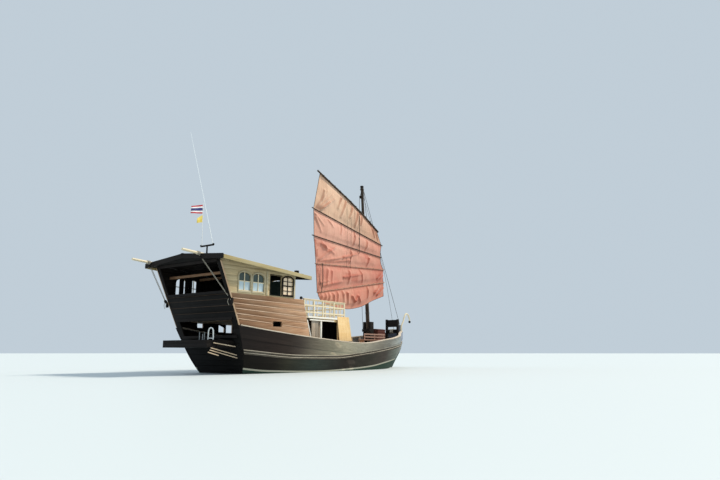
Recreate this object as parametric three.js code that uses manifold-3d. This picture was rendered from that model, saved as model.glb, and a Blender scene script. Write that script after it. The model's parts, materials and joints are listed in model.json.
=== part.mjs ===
// A wooden junk about 17 m long: decked hull, raised stern house, railed mid house and one lug sail.
import * as THREE from 'three';
import { mergeVertices } from 'three/addons/utils/BufferGeometryUtils.js';
import Module from 'manifold-3d';

const wasm = await Module();
wasm.setup();

// Driving dimensions in mm. x runs forward from the transom's foot at the water, y to port,
// z up from the water.
const WATERLINE = 13000;
const GAP = 0.3;                 // between pieces that touch
const TRANSOM_RAKE = 0.47;       // mm aft for each mm up, above the water
const COUNTER_RAKE = -0.3;       // the same below the water, where the transom runs forward
const BULWARK_HIGH = 450;
const KEEL_HALF = 90;
const KEEL_FOOT = -1250;         // the lowest point of the ship
const PLANK = 60;                // thickness of the heavy walls

// Hull sections from transom to stem. u is the share of the length; the rest are heights and
// half breadths at the keel, bilge, water, topside (900 mm up) and sheer.
const SECTIONS = [
  { u: 0.00, keelZ: -350, bilgeZ: -230, bilge: 800, water: 1220, topside: 1650, sheer: 1840, sheerZ: 1850 },
  { u: 0.12, keelZ: -600, bilgeZ: -420, bilge: 1200, water: 1740, topside: 1960, sheer: 2040, sheerZ: 1640 },
  { u: 0.30, keelZ: -900, bilgeZ: -650, bilge: 1550, water: 2040, topside: 2220, sheer: 2250, sheerZ: 1400 },
  { u: 0.50, keelZ: -1000, bilgeZ: -720, bilge: 1650, water: 2130, topside: 2320, sheer: 2350, sheerZ: 1250 },
  { u: 0.68, keelZ: -980, bilgeZ: -700, bilge: 1430, water: 1950, topside: 2170, sheer: 2240, sheerZ: 1490 },
  { u: 0.82, keelZ: -860, bilgeZ: -600, bilge: 860, water: 1330, topside: 1570, sheer: 1610, sheerZ: 1700 },
  { u: 0.92, keelZ: -680, bilgeZ: -450, bilge: 340, water: 600, topside: 740, sheer: 770, sheerZ: 1890 },
  { u: 1.00, keelZ: -400, bilgeZ: -250, bilge: 110, water: 130, topside: 140, sheer: 165, sheerZ: 2080 },
];
const TOPSIDE_Z = 900;
const CAP = { high: 50, out: 45, inward: 35 };   // the rail on the bulwark's top edge
// The stem's profile: height and x of the hull's fore end.
const STEM = [[-1300, 10600], [-700, 11850], [-300, 12450], [0, 12830], [350, 13150],
  [620, 13430], [900, 13700], [1250, 13930], [1600, 14000], [2100, 14030], [2700, 14040]];
const HULL_STATIONS = 24;
const HULL_LEVELS = [0, 0.04, 0.12, 0.24, 0.4, 0.6, 0.8, 1];

// Stern house.
const QUARTER_TOP = 3060;        // top of the reddish side planks
const QUARTER_DECK = 2150;
const DECK_THICK = 60;
const HOUSE_AFT_HALF = 1880;     // half breadth of the stern house at the transom
const HOUSE_FORE_HALF = 2180;    // and at the quarterdeck's fore end
const QUARTER_FORE = 2500;       // x of the quarterdeck's fore end at its top
const HOUSE_FRONT = 1950;        // x of the wheelhouse front wall
const WALL = 50;
const ROOF = {
  aft: -2200, fore: 2810, half: 2320, eaveAft: 4350, eaveFore: 4060, rise: 205, thick: 60,
};

// Mid house.
const MID = { aft: 3600, fore: 6350, lean: 260, half: 1750, top: 2330, deckAft: 2950, deckThick: 70 };
const RAIL_TOP = 3160;

// Mast and sail.
const MAST_X = 10780;            // where the mast's centre line meets the water's plane
const MAST_RAKE = 0.0735;        // mm aft for each mm up
const MAST = { foot: 1235, top: 10220, footR: 115, topR: 75 };
const SAIL_Y = -190;             // the cloth's port face
const CLOTH = 12;

const ink = (color, roughness = 0.8, metalness = 0) =>
  new THREE.MeshStandardMaterial({ color, roughness, metalness });
const COLOURS = {
  hull: ink(0x3a2a22), wale: ink(0x2c211c), cap: ink(0xa8907a), deck: ink(0x8a7561),
  redPlank: ink(0x8f5f42), wall: ink(0x8b7a55), roof: ink(0x6f6455), fascia: ink(0xc0a878),
  dark: ink(0x2a1f1a), cream: ink(0xd9cdb2), sail: ink(0xc06a4c, 0.95), spar: ink(0x3b2a20),
  rope: ink(0x9a9a92), bronze: ink(0x8a6a35, 0.35, 0.9),
  white: ink(0xe8e8e4, 0.5), panel: ink(0xa8865c), flag: ink(0xd04048, 0.9),
};

const ship = new THREE.Group();
ship.position.x = -WATERLINE / 2;

function add(name, geometry, material) {
  const mesh = new THREE.Mesh(geometry, material);
  mesh.name = name;
  ship.add(mesh);
  return mesh;
}

// Reading a curve through table points with no overshoot.
function fair(points, at) {
  const last = points.length - 1;
  let i = 0;
  while (i < last - 1 && at > points[i + 1][0]) i += 1;
  const slope = (k) => (points[k + 1][1] - points[k][1]) / (points[k + 1][0] - points[k][0]);
  const tangent = (k) => {
    if (k === 0) return slope(0);
    if (k === last) return slope(last - 1);
    const a = slope(k - 1);
    const b = slope(k);
    return a * b <= 0 ? 0 : (2 * a * b) / (a + b);
  };
  const [x0, y0] = points[i];
  const [x1, y1] = points[i + 1];
  const h = x1 - x0;
  const t = Math.min(Math.max((at - x0) / h, 0), 1);
  const a = t * t * (3 - 2 * t);
  return y0 + (y1 - y0) * a + h * t * (1 - t) * ((1 - t) * tangent(i) - t * tangent(i + 1));
}

const column = (name, u) => fair(SECTIONS.map((row) => [row.u, row[name]]), u);
const sheerZ = (u) => column('sheerZ', u);
const deckZ = (u) => sheerZ(u) - BULWARK_HIGH;
const aftX = (z) => (z > 0 ? -TRANSOM_RAKE * z : COUNTER_RAKE * z);
const skinX = (u, z) => aftX(z) + u * (fair(STEM, z) - aftX(z));
const skinHalf = (u, z) => fair([
  [column('keelZ', u), KEEL_HALF], [column('bilgeZ', u), column('bilge', u)],
  [0, column('water', u)], [TOPSIDE_Z, column('topside', u)], [sheerZ(u), column('sheer', u)],
], z);

// The u whose skin lies at a given x and height.
function shareAt(x, z) {
  return (x - aftX(z)) / (fair(STEM, z) - aftX(z));
}

// A closed body through rings of equal point count, with its ends closed by endFaces.
function loft(rings, endFaces = flatFaces) {
  const count = rings[0].length;
  const positions = rings.flat().flatMap((p) => [p.x, p.y, p.z]);
  const triangles = [];
  for (let r = 0; r < rings.length - 1; r += 1) {
    for (let i = 0; i < count; i += 1) {
      const a = r * count + i;
      const b = r * count + ((i + 1) % count);
      triangles.push(a, b, b + count, a, b + count, a + count);
    }
  }
  endFaces(rings[0]).forEach(([a, b, c]) => triangles.push(c, b, a));
  const far = (rings.length - 1) * count;
  endFaces(rings[rings.length - 1]).forEach(([a, b, c]) => triangles.push(far + a, far + b, far + c));
  const geometry = new THREE.BufferGeometry();
  geometry.setAttribute('position', new THREE.Float32BufferAttribute(positions, 3));
  geometry.setIndex(triangles);
  return outward(geometry);
}

// Triangles that close a ring whose two halves mirror each other.
function ladderFaces(ring) {
  const last = ring.length - 1;
  const faces = [];
  for (let i = 0; i < (last - 1) / 2; i += 1) {
    faces.push([i, i + 1, last - i - 1], [i, last - i - 1, last - i]);
  }
  return faces;
}

// Triangles of one flat ring, seen along its own normal.
function flatFaces(ring) {
  const normal = new THREE.Vector3();
  ring.forEach((p, i) => normal.add(new THREE.Vector3().crossVectors(p, ring[(i + 1) % ring.length])));
  normal.normalize();
  const side = Math.abs(normal.z) < 0.9 ? new THREE.Vector3(0, 0, 1) : new THREE.Vector3(1, 0, 0);
  const across = new THREE.Vector3().crossVectors(side, normal).normalize();
  const up = new THREE.Vector3().crossVectors(normal, across);
  const flat = ring.map((p) => new THREE.Vector2(p.dot(across), p.dot(up)));
  return THREE.ShapeUtils.triangulateShape(flat, []);
}

function signedVolume(geometry) {
  const p = geometry.attributes.position;
  const index = geometry.index.array;
  const [a, b, c] = [new THREE.Vector3(), new THREE.Vector3(), new THREE.Vector3()];
  let sum = 0;
  for (let i = 0; i < index.length; i += 3) {
    a.fromBufferAttribute(p, index[i]);
    b.fromBufferAttribute(p, index[i + 1]);
    c.fromBufferAttribute(p, index[i + 2]);
    sum += a.dot(b.cross(c));
  }
  return sum / 6;
}

// The same body with every face turned out.
function outward(geometry) {
  if (signedVolume(geometry) < 0) geometry.index.array.reverse();
  return geometry;
}

function merged(geometry) {
  ['normal', 'uv'].forEach((name) => geometry.deleteAttribute(name));
  return mergeVertices(geometry, 1e-3);
}

function toSolid(geometry) {
  const bare = outward(merged(geometry.clone()));
  return new wasm.Manifold(new wasm.Mesh({
    numProp: 3,
    vertProperties: new Float32Array(bare.attributes.position.array),
    triVerts: new Uint32Array(bare.index.array),
  }));
}

// The largest single body of a boolean result.
function fromSolid(solid) {
  const largest = solid.decompose().sort((a, b) => b.volume() - a.volume())[0];
  const mesh = largest.getMesh();
  const geometry = new THREE.BufferGeometry();
  geometry.setAttribute('position', new THREE.BufferAttribute(new Float32Array(mesh.vertProperties), 3));
  geometry.setIndex(Array.from(mesh.triVerts));
  return geometry;
}

const cut = (geometry, ...tools) =>
  fromSolid(tools.reduce((solid, tool) => solid.subtract(toSolid(tool)), toSolid(geometry)));
const join = (geometries) =>
  fromSolid(geometries.slice(1).reduce((solid, g) => solid.add(toSolid(g)), toSolid(geometries[0])));

const point = (x, y, z) => new THREE.Vector3(x, y, z);

// A box from its lowest to its highest corner.
function block(low, high) {
  const size = high.map((v, i) => v - low[i]);
  const geometry = new THREE.BoxGeometry(...size);
  return geometry.translate(...low.map((v, i) => v + size[i] / 2));
}

// A round bar between two points, with a radius for each end.
function bar(from, to, radius, endRadius = radius, sides = 12) {
  const span = new THREE.Vector3().subVectors(to, from);
  const geometry = new THREE.CylinderGeometry(endRadius, radius, span.length(), sides);
  const turn = new THREE.Quaternion().setFromUnitVectors(point(0, 1, 0), span.clone().normalize());
  return geometry.applyQuaternion(turn).translate(...span.multiplyScalar(0.5).add(from).toArray());
}

// An outline in the x-z plane, pulled through y, with holes cut right through.
function plate(outline, yLow, yHigh, holes = []) {
  const shape = new THREE.Shape(outline.map(([x, z]) => new THREE.Vector2(x, z)));
  const geometry = new THREE.ExtrudeGeometry(shape, { depth: yHigh - yLow, bevelEnabled: false });
  geometry.rotateX(Math.PI / 2).translate(0, yHigh, 0);
  return holes.length ? cut(geometry, ...holes.map((hole) => plate(hole, yLow - 10, yHigh + 10))) : geometry;
}

const rectangle = (a0, b0, a1, b1) => [[a0, b0], [a1, b0], [a1, b1], [a0, b1]];

// A rectangle with a round head, as outline points.
function arch(a0, b0, a1, b1, rise, steps = 6) {
  const points = [[a0, b0], [a1, b0], [a1, b1 - rise]];
  for (let i = 1; i < steps; i += 1) {
    const turn = (Math.PI * i) / steps;
    points.push([(a0 + a1) / 2 + ((a1 - a0) / 2) * Math.cos(turn), b1 - rise + rise * Math.sin(turn)]);
  }
  points.push([a0, b1 - rise]);
  return points;
}

// Hull, grown by a small amount so that it can cut what rests on it.
function hullBody(grow = 0) {
  const rings = [];
  for (let i = 0; i <= HULL_STATIONS; i += 1) {
    const u = i / HULL_STATIONS;
    const end = (i === 0 ? -grow : 0) + (i === HULL_STATIONS ? grow : 0);
    const low = column('keelZ', u);
    const starboard = HULL_LEVELS.map((t) => {
      const z = low + t * (deckZ(u) - low);
      const lift = (t === 0 ? -grow : 0) + (t === 1 ? grow : 0);
      return point(skinX(u, z) + end, -skinHalf(u, z) - grow, z + lift);
    });
    const port = starboard.map((p) => point(p.x, -p.y, p.z)).reverse();
    rings.push([...starboard, ...port]);
  }
  return loft(rings, ladderFaces);
}

const hullMould = hullBody(GAP);
const seated = (geometry) => cut(geometry, hullMould);

// A strake that follows the hull from the transom round the bow and back. Heights are functions
// of u; outset and inset are measured from the skin.
function strake(low, high, outset, inset, start = 0.007) {
  const steps = 26;
  const side = [];
  for (let i = 0; i <= steps; i += 1) {
    const u = start + (1 - start) * (i / steps);
    const at = (z, out) => {
      const here = point(skinX(u, z), skinHalf(u, z), z);
      const near = point(skinX(u - 0.004, z), skinHalf(u - 0.004, z), z);
      const run = here.clone().sub(near).normalize();
      return here.add(point(-run.y * out, run.x * out, 0));
    };
    side.push([at(low(u), outset), at(high(u), outset), at(high(u), -inset), at(low(u), -inset)]);
  }
  const mirrored = side.map((ring) => ring.map((p) => point(p.x, -p.y, p.z)));
  return loft([...mirrored, ...side.reverse()]);
}

// Two wales run side by side: share of the length and height of the upper one's middle.
const WALE_LINE = [[0, 900], [0.2, 690], [0.36, 670], [0.55, 870], [0.76, 1190], [1, 1480]];
const WALE = { half: 38, out: 60, drop: 102 };
const waleZ = (u) => fair(WALE_LINE, u);
const bulwarkFoot = (u) => deckZ(u) - 40;

function buildHull() {
  const trunk = bar(point(RUDDER.x, 0, -700), point(RUDDER.x, 0, -150), RUDDER.bore);
  add('hull', cut(hullBody(), trunk), COLOURS.hull);
  add('bulwark', seated(strake(bulwarkFoot, sheerZ, 0, PLANK)), COLOURS.hull);
  const wall = strake(bulwarkFoot, (u) => sheerZ(u) + GAP, GAP, PLANK + GAP);
  const cap = strake(sheerZ, (u) => sheerZ(u) + CAP.high, CAP.out, PLANK + CAP.inward);
  add('cap_rail', cut(cap, wall), COLOURS.cap);
  const skin = strake((u) => bulwarkFoot(u) - GAP, sheerZ, GAP, PLANK + 2 * GAP);
  const wale = (drop) => strake((u) => waleZ(u) - drop - WALE.half,
    (u) => waleZ(u) - drop + WALE.half, WALE.out, PLANK - GAP, 0.001);
  add('upper_wale', cut(seated(wale(0)), skin), COLOURS.wale);
  add('lower_wale', cut(seated(wale(WALE.drop)), skin), COLOURS.wale);
}

// Keel under the flat of the hull, with the shoe that carries the rudder's foot.
const RUDDER = { x: 430, bore: 52, stock: 40, shoe: -1170 };
const PROP = { x: 980, z: -820, hub: 45, blade: 95, reach: 120, thick: 16, pitch: 0.5 };

function buildKeel() {
  const shoeAft = RUDDER.x - 120;
  const sternPost = PROP.x + 230;
  const scarf = 12100;
  const outline = [[shoeAft, KEEL_FOOT], [11100, KEEL_FOOT], [11800, -1060], [scarf - GAP, -820],
    [scarf - GAP, -300], [1500, -300], [sternPost, -420], [sternPost, RUDDER.shoe], [shoeAft, RUDDER.shoe]];
  add('keel', seated(plate(outline, -70, 70)), COLOURS.hull);
  const stem = [[scarf, -820], [12500, -480], [WATERLINE, 0], [13290, 350], [13560, 620],
    [13820, 900], [14060, 1250], [14150, 1600], [STEM_FORE, 2150], [STEM_FORE, STEM_HEAD],
    [STEM_FORE - 190, STEM_HEAD], [13950, 2100], [13700, 1200], [12700, 0], [scarf, -300]];
  const fittings = [hullMould, bulwarkMould, waleMould];
  add('stem_post', cut(plate(stem, -85, 85), ...fittings), COLOURS.wale);
}

const STEM_HEAD = 2420;
const STEM_FORE = 14190;          // x of the stem head's fore face
const bulwarkMould = strake((u) => deckZ(u) - 60, (u) => sheerZ(u) + CAP.high + 5, 70, PLANK + 60);
const waleMould = strake((u) => waleZ(u) - WALE.drop - WALE.half - GAP,
  (u) => waleZ(u) + WALE.half + GAP, WALE.out + 30, 80, 0.0005);

// Half breadth of the stern house at x, where its walls stand upright.
const houseHalf = (x) => HOUSE_AFT_HALF + (HOUSE_FORE_HALF - HOUSE_AFT_HALF)
  * Math.min(Math.max((x + 1440) / (QUARTER_FORE + 1440), 0), 1);

// Upper transom wall in its raked plane: drawn in y and height, then leant aft.
function buildTransom() {
  const low = deckZ(0) + GAP;
  const outline = [[-1790, low], [1790, low], [1850, 2000], [1880, 3000], [1900, 4060],
    [1900, 4900], [-1900, 4900], [-1900, 4060], [-1880, 3000], [-1850, 2000]];
  const gallery = rectangle(-1720, 3150, 1720, 4200);
  const veranda = rectangle(-1560, 1480, 1560, 2060);
  const wall = plate(outline, 0, PLANK, [gallery, veranda]);
  const p = wall.attributes.position;
  for (let i = 0; i < p.count; i += 1) {
    const [across, deep, z] = [p.getX(i), p.getY(i), p.getZ(i)];
    p.setXYZ(i, aftX(z) + deep, -across, z);
  }
  add('transom_wall', cut(wall, roofMould), COLOURS.dark);
}

// One side wall of the quarterdeck, from the cap rail up: its foot follows the sheer and its head
// the house above, and both ends lean aft. thick is its wall.
function quarterWall(side, thick) {
  const stations = 6;
  const rings = [];
  for (let i = 0; i <= stations; i += 1) {
    const share = i / stations;
    const headX = aftX(QUARTER_TOP) + PLANK + 20 + share * (QUARTER_FORE - aftX(QUARTER_TOP) - 80);
    const footX = aftX(1900) + PLANK + 45 + share * (QUARTER_FORE + 440 - aftX(1900) - 105);
    const u = shareAt(footX, 1600);
    const footZ = sheerZ(u) + CAP.high + GAP;
    const footHalf = skinHalf(u, sheerZ(u)) - 5;
    rings.push([
      point(footX, side * footHalf, footZ), point(headX, side * houseHalf(headX), QUARTER_TOP),
      point(headX, side * (houseHalf(headX) - thick), QUARTER_TOP),
      point(footX, side * (footHalf - thick), footZ),
    ]);
  }
  return loft(rings);
}

const SIDES = [['starboard', -1], ['port', 1]];
const quarterMoulds = SIDES.map(([, side]) => quarterWall(side, PLANK + GAP));

// Small windows under the quarterdeck on each side, as x0, z0, x1, z1.
const LOW_WINDOWS = {
  starboard: [[840, 1860, 1300, 2070]],
  port: [[260, 1890, 600, 2070], [1570, 1740, 1930, 2070], [2050, 1720, 2450, 2070]],
};

function buildQuarterdeck() {
  for (const [name, side] of SIDES) {
    const windows = LOW_WINDOWS[name].map(([x0, z0, x1, z1]) => block([x0, -2400, z0], [x1, 2400, z1]));
    const wall = cut(quarterWall(side, PLANK), ...windows, capMould, transomMould);
    add(`quarter_side_${name}`, wall, COLOURS.redPlank);
  }
  const edge = [[-1300, 1760], [-830, 1760], [-830, 2500], [QUARTER_FORE, 2500]];
  const outline = [...edge, ...edge.map(([x, y]) => [x, -y]).reverse()];
  const deck = slab(outline, QUARTER_DECK - DECK_THICK, QUARTER_DECK);
  add('quarterdeck', cut(deck, ...quarterMoulds, transomMould), COLOURS.deck);
  const wall = plate(rectangle(-2500, 700, 2500, QUARTER_DECK - DECK_THICK - GAP), 0, WALL,
    [rectangle(-380, 1200, 380, 2030)]);
  wall.rotateZ(Math.PI / 2).translate(QUARTER_FORE - 20, 0, 0);
  add('quarter_bulkhead', cut(wall, hullMould, bulwarkMould, ...quarterMoulds), COLOURS.dark);
}

const capMould = strake((u) => sheerZ(u) - 10, (u) => sheerZ(u) + CAP.high + GAP, 60, PLANK + 60);

// The space taken by the transom wall, for cutting what ends against it.
const [MOULD_LOW, MOULD_TOP] = [900, 4600];
const transomMould = loft([-2600, 2600].map((y) => [
  point(aftX(MOULD_LOW) - 400, y, MOULD_LOW), point(aftX(MOULD_TOP) - 400, y, MOULD_TOP),
  point(aftX(MOULD_TOP) + PLANK + GAP, y, MOULD_TOP), point(aftX(MOULD_LOW) + PLANK + GAP, y, MOULD_LOW)]));

// An outline in plan, pulled through z.
function slab(outline, low, high) {
  const shape = new THREE.Shape(outline.map(([x, y]) => new THREE.Vector2(x, y)));
  return new THREE.ExtrudeGeometry(shape, { depth: high - low, bevelEnabled: false }).translate(0, 0, low);
}

const roofEave = (x) => ROOF.eaveAft
  + (ROOF.eaveFore - ROOF.eaveAft) * ((x - ROOF.aft) / (ROOF.fore - ROOF.aft));
const roofTop = (x, y) => roofEave(x) + ROOF.rise * (1 - Math.abs(y) / ROOF.half);

// The space above the roof boards' underside.
const roofMould = loft([ROOF.aft - 500, ROOF.fore + 500].map((x) => [
  point(x, -ROOF.half - 300, roofTop(x, ROOF.half + 300) - ROOF.thick - GAP),
  point(x, 0, roofTop(x, 0) - ROOF.thick - GAP),
  point(x, ROOF.half + 300, roofTop(x, ROOF.half + 300) - ROOF.thick - GAP),
  point(x, ROOF.half + 300, 6000), point(x, -ROOF.half - 300, 6000)]));

// Window and door openings of the stern house's side, from aft: x0, z0, x1, z1, arch rise.
const SIDE_OPENINGS = [
  [-1010, 3170, -430, 3900, 150], [-320, 3170, 270, 3900, 150],
  [600, QUARTER_TOP + 40, 1210, 3930, 0], [1300, 3150, 1860, 3930, 140],
];

function buildSternHouse() {
  const turn = Math.atan2(HOUSE_FORE_HALF - HOUSE_AFT_HALF, QUARTER_FORE + 1440);
  const holes = SIDE_OPENINGS.map(([x0, z0, x1, z1, rise]) =>
    (rise ? arch(x0, z0, x1, z1, rise) : rectangle(x0, z0, x1, z1)));
  const outline = [[-1600, QUARTER_TOP + GAP], [HOUSE_FRONT, QUARTER_TOP + GAP],
    [HOUSE_FRONT, 4500], [-2300, 4500]];
  for (const [name, side] of SIDES) {
    const flat = plate(outline, -WALL / 2, WALL / 2, holes)
      .translate(1440, 0, 0).rotateZ(side * turn)
      .translate(-1440, side * (HOUSE_AFT_HALF - WALL / 2), 0);
    add(`house_side_${name}`, cut(flat, roofMould, transomMould), COLOURS.wall);
  }
  const inner = houseHalf(HOUSE_FRONT) - WALL - 8;
  const doorway = rectangle(DOOR.y0, QUARTER_DECK - 20, DOOR.y1, DOOR.top);
  const windows = [arch(-1500, 3150, -700, 3900, 150), arch(700, 3150, 1500, 3900, 150)];
  const sill = QUARTER_DECK + GAP;
  const front = plate(rectangle(-inner, sill, inner, 4600), 0, WALL, windows);
  const turned = cut(front, plate(doorway, -10, WALL + 10)).rotateZ(Math.PI / 2)
    .translate(HOUSE_FRONT, 0, 0);
  add('house_front', cut(turned, roofMould, ...quarterMoulds), COLOURS.wall);
  const leaf = block([HOUSE_FRONT - WALL, DOOR.y0 + 6, QUARTER_DECK + 8],
    [HOUSE_FRONT - 10, DOOR.y1 - 6, DOOR.top - 8]);
  add('house_door', join([leaf, ...HINGE_HEIGHTS.flatMap(hinge)]), COLOURS.panel);
}

const DOOR = { y0: -350, y1: 350, top: 4000, pin: 12.3 };
const HINGE_HEIGHTS = [2350, 3700];
const HINGE_HIGH = 120;

// Barrel and leaf of one door hinge, whose pin stands just outside the wall.
function hinge(z) {
  const pinX = HOUSE_FRONT + DOOR.pin;
  const pinY = DOOR.y1 + DOOR.pin;
  const top = z + HINGE_HIGH;
  return [
    bar(point(pinX, pinY, z), point(pinX, pinY, top), 12),
    block([HOUSE_FRONT - 12, DOOR.y1 - 90, z + 10], [pinX + 4, DOOR.y1 - 8, top - 10]),
    block([pinX - 6, DOOR.y1 - 20, z + 10], [pinX + 4, pinY, top - 10]),
  ];
}

function buildRoof() {
  const section = (x) => {
    const top = (y) => roofTop(x, y);
    const half = ROOF.half;
    return [point(x, -half, top(half)), point(x, 0, top(0)), point(x, half, top(half)),
      point(x, half, top(half) - ROOF.thick), point(x, 0, top(0) - ROOF.thick),
      point(x, -half, top(half) - ROOF.thick)];
  };
  add('roof', loft([section(ROOF.aft), section(ROOF.fore)]), COLOURS.roof);
  const fascia = (side) => loft([ROOF.aft, ROOF.fore].map((x) => {
    const z = roofEave(x);
    const y = side * (ROOF.half + GAP);
    return [point(x, y, z + 25), point(x, y + side * 35, z + 25),
      point(x, y + side * 35, z - 130), point(x, y, z - 130)];
  }));
  add('fascia_starboard', fascia(-1), COLOURS.fascia);
  add('fascia_port', fascia(1), COLOURS.fascia);
  const ridge = loft([ROOF.aft - 60, ROOF.fore].map((x) => {
    const z = roofTop(x, 0) + GAP;
    return [point(x, -60, z), point(x, 60, z), point(x, 60, z + 70), point(x, -60, z + 70)];
  }));
  add('ridge_beam', ridge, COLOURS.dark);
}

// Davit poles lie on the roof and stick out aft; each is braced to the transom's edge.
const DAVITS = [
  { name: 'port', y: 2030, tip: 3050, brace: 1960, braceZ: 2780 },
  { name: 'starboard', y: -1040, tip: 3050, brace: -1900, braceZ: 2760 },
];

function buildDavits() {
  const radius = 56;
  const tipRadius = 48;
  const fall = (ROOF.eaveAft - ROOF.eaveFore) / (ROOF.fore - ROOF.aft);
  const steep = Math.hypot(1, ROOF.rise / ROOF.half, fall);   // roof's normal for a height of one
  for (const { name, y, tip, brace, braceZ } of DAVITS) {
    const level = (x) => roofTop(x, y) + radius * steep + GAP;
    const near = point(-900, y, level(-900));
    const slope = (level(ROOF.aft) - near.z) / (ROOF.aft + 900);
    const far = point(-tip, y, near.z + slope * (-tip + 900));
    add(`davit_${name}`, bar(near, far, radius, tipRadius, 24), COLOURS.cream);
    const along = 0.65;          // how far along the pole its brace is tied
    const eave = near.clone().lerp(far, along);
    const grip = radius - (radius - tipRadius) * along + 1;
    const foot = point(aftX(braceZ), brace, braceZ);
    const ring = collar(eave, far.clone().sub(near), grip, grip + 24, 50);
    const tackle = bar(eave.clone().add(point(0, 0, -grip - 14)), foot, 22, 22, 8);
    const eye = block([foot.x - 60, foot.y - 35, foot.z - 50], [foot.x + 60, foot.y + 35, foot.z + 50]);
    add(`brace_${name}`, cut(join([tackle, ring, eye]), transomSkin), COLOURS.rope);
  }
}

const PLATFORM = { aft: -1900, half: 1300, low: 1020, high: 1300 };

function buildPlatform() {
  const { aft, half, low, high } = PLATFORM;
  const fore = aftX(low) + 60;
  const board = slab([[aft, -half], [aft, half], [fore, half], [fore, -half]], low, high);
  add('stern_platform', cut(board, hullMould, transomSkin), COLOURS.dark);
}

// Boarding ladder stowed outside the platform's starboard edge: bars as x0, z0, x1, z1, from the
// top, on two hangers given by x and their lowest point.
const LADDER_BARS = [[-1430, 1330, -620, 1225], [-1620, 1190, -640, 1065], [-1740, 1000, -690, 780],
  [-1790, 925, -620, 665], [-1870, 845, -1180, 705]];
const LADDER_HANGERS = [[-1420, 740], [-760, 690]];
const LADDER_Y = -PLATFORM.half - 45;

function buildBoardingLadder() {
  const bars = LADDER_BARS.map(([x0, z0, x1, z1]) => plate([[x0, z0 - 22], [x1, z1 - 22],
    [x1, z1 + 22], [x0, z0 + 22]], LADDER_Y - 20, LADDER_Y + 20));
  const hangers = LADDER_HANGERS.map(([x, low]) =>
    block([x - 30, LADDER_Y - 10, low], [x + 30, -PLATFORM.half - GAP, PLATFORM.high - 20]));
  add('boarding_ladder', cut(join([...hangers, ...bars]), transomSkin), COLOURS.cap);
}

// White hoop of tube that stands on the platform, with a bar across its foot.
const HOOP = { x: -1500, y: -1035, half: 150, high: 455, tube: 24 };

function buildHoopRail() {
  const { x, y, half, high, tube: radius } = HOOP;
  const foot = PLATFORM.high - 20;
  const crown = PLATFORM.high + high;
  const path = [point(x, y - half, foot), point(x, y - half + 20, crown - 120)];
  for (let i = 1; i < 6; i += 1) {
    const turn = Math.PI * (1 - i / 6);
    path.push(point(x, y + (half - 20) * Math.cos(turn), crown - 120 + 120 * Math.sin(turn)));
  }
  path.push(point(x, y + half - 20, crown - 120), point(x, y + half, foot));
  const brace = bar(point(x, y - half, foot + 80), point(x, y + half, foot + 80), 18, 18, 8);
  const floor = block([x - 100, y - 2 * half, PLATFORM.low], [x + 100, y + 2 * half, PLATFORM.high + GAP]);
  add('hoop_rail', cut(join([tube(path, radius, 8, 20), brace]), floor), COLOURS.white);
}

const transomSkin = loft([-2600, 2600].map((y) => [
  point(aftX(0) - GAP, y, 0), point(aftX(4300) - GAP, y, 4300),
  point(4000, y, 4300), point(4000, y, 0)]));

function buildMidHouse() {
  const { aft, fore, lean, half, top } = MID;
  const outline = [[aft, 500], [fore + lean * 0.8, 500], [fore - lean * 0.4, top - GAP], [aft, top - GAP]];
  const doorway = rectangle(4040, 1180, 5500, 2230);
  for (const [name, side] of SIDES) {
    const low = side < 0 ? -half : half - WALL;
    add(`mid_side_${name}`, seated(plate(outline, low, low + WALL, [doorway])), COLOURS.panel);
  }
  const inner = half - WALL - GAP;
  const crossWall = (xLow, xHigh) => loft([-inner, inner].map((y) => [point(xLow, y, 500),
    point(xLow + WALL, y, 500), point(xHigh + WALL, y, top - GAP), point(xHigh, y, top - GAP)]));
  const front = crossWall(fore + lean * 0.8 - WALL - 20, fore - lean * 0.4 - WALL - 20);
  add('mid_front', seated(front), COLOURS.panel);
  add('mid_aft', seated(crossWall(aft + 20, aft + 20)), COLOURS.panel);
  const deck = block([MID.deckAft, -half - 60, top], [fore - 60, half + 60, top + MID.deckThick]);
  add('mid_deck', deck, COLOURS.deck);
}

// Railing round the mid house's top deck: x of the posts, and heights of the rails.
const POST = 60;
const RAIL_POSTS = [2990, 3650, 4300, 5130, 5950];
const RAIL_LEVELS = [2560, 2860, RAIL_TOP - POST];
const FRONT_POSTS = [-600, 600];

function buildRailing() {
  const deckTop = MID.top + MID.deckThick + GAP;
  const side = MID.half + 20;
  const [aft, fore] = [RAIL_POSTS[0], RAIL_POSTS[RAIL_POSTS.length - 1] + POST];
  const post = (x, y) => block([x, y - POST / 2, deckTop], [x + POST, y + POST / 2, RAIL_TOP - 10]);
  const pieces = [];
  for (const y of [-side, side]) {
    RAIL_POSTS.forEach((x) => pieces.push(post(x, y)));
    RAIL_LEVELS.forEach((z) => pieces.push(block([aft, y - 22, z], [fore, y + 22, z + POST])));
  }
  RAIL_LEVELS.forEach((z) => pieces.push(block([fore - 50, -side, z], [fore - 10, side, z + POST])));
  FRONT_POSTS.forEach((y) => pieces.push(post(fore - POST, y)));
  add('mid_railing', join(pieces), COLOURS.cream);
}

// Steps from the quarterdeck's height down to the deck. The strings are drawn past the deck and
// seated on it.
const STEPS = {
  headX: 2600, headZ: QUARTER_DECK, footX: 3300, footZ: 700, wide: 180, thick: 45,
  y0: -1500, y1: -1000, count: 5, firstZ: 1150, rise: 210,
};

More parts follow.
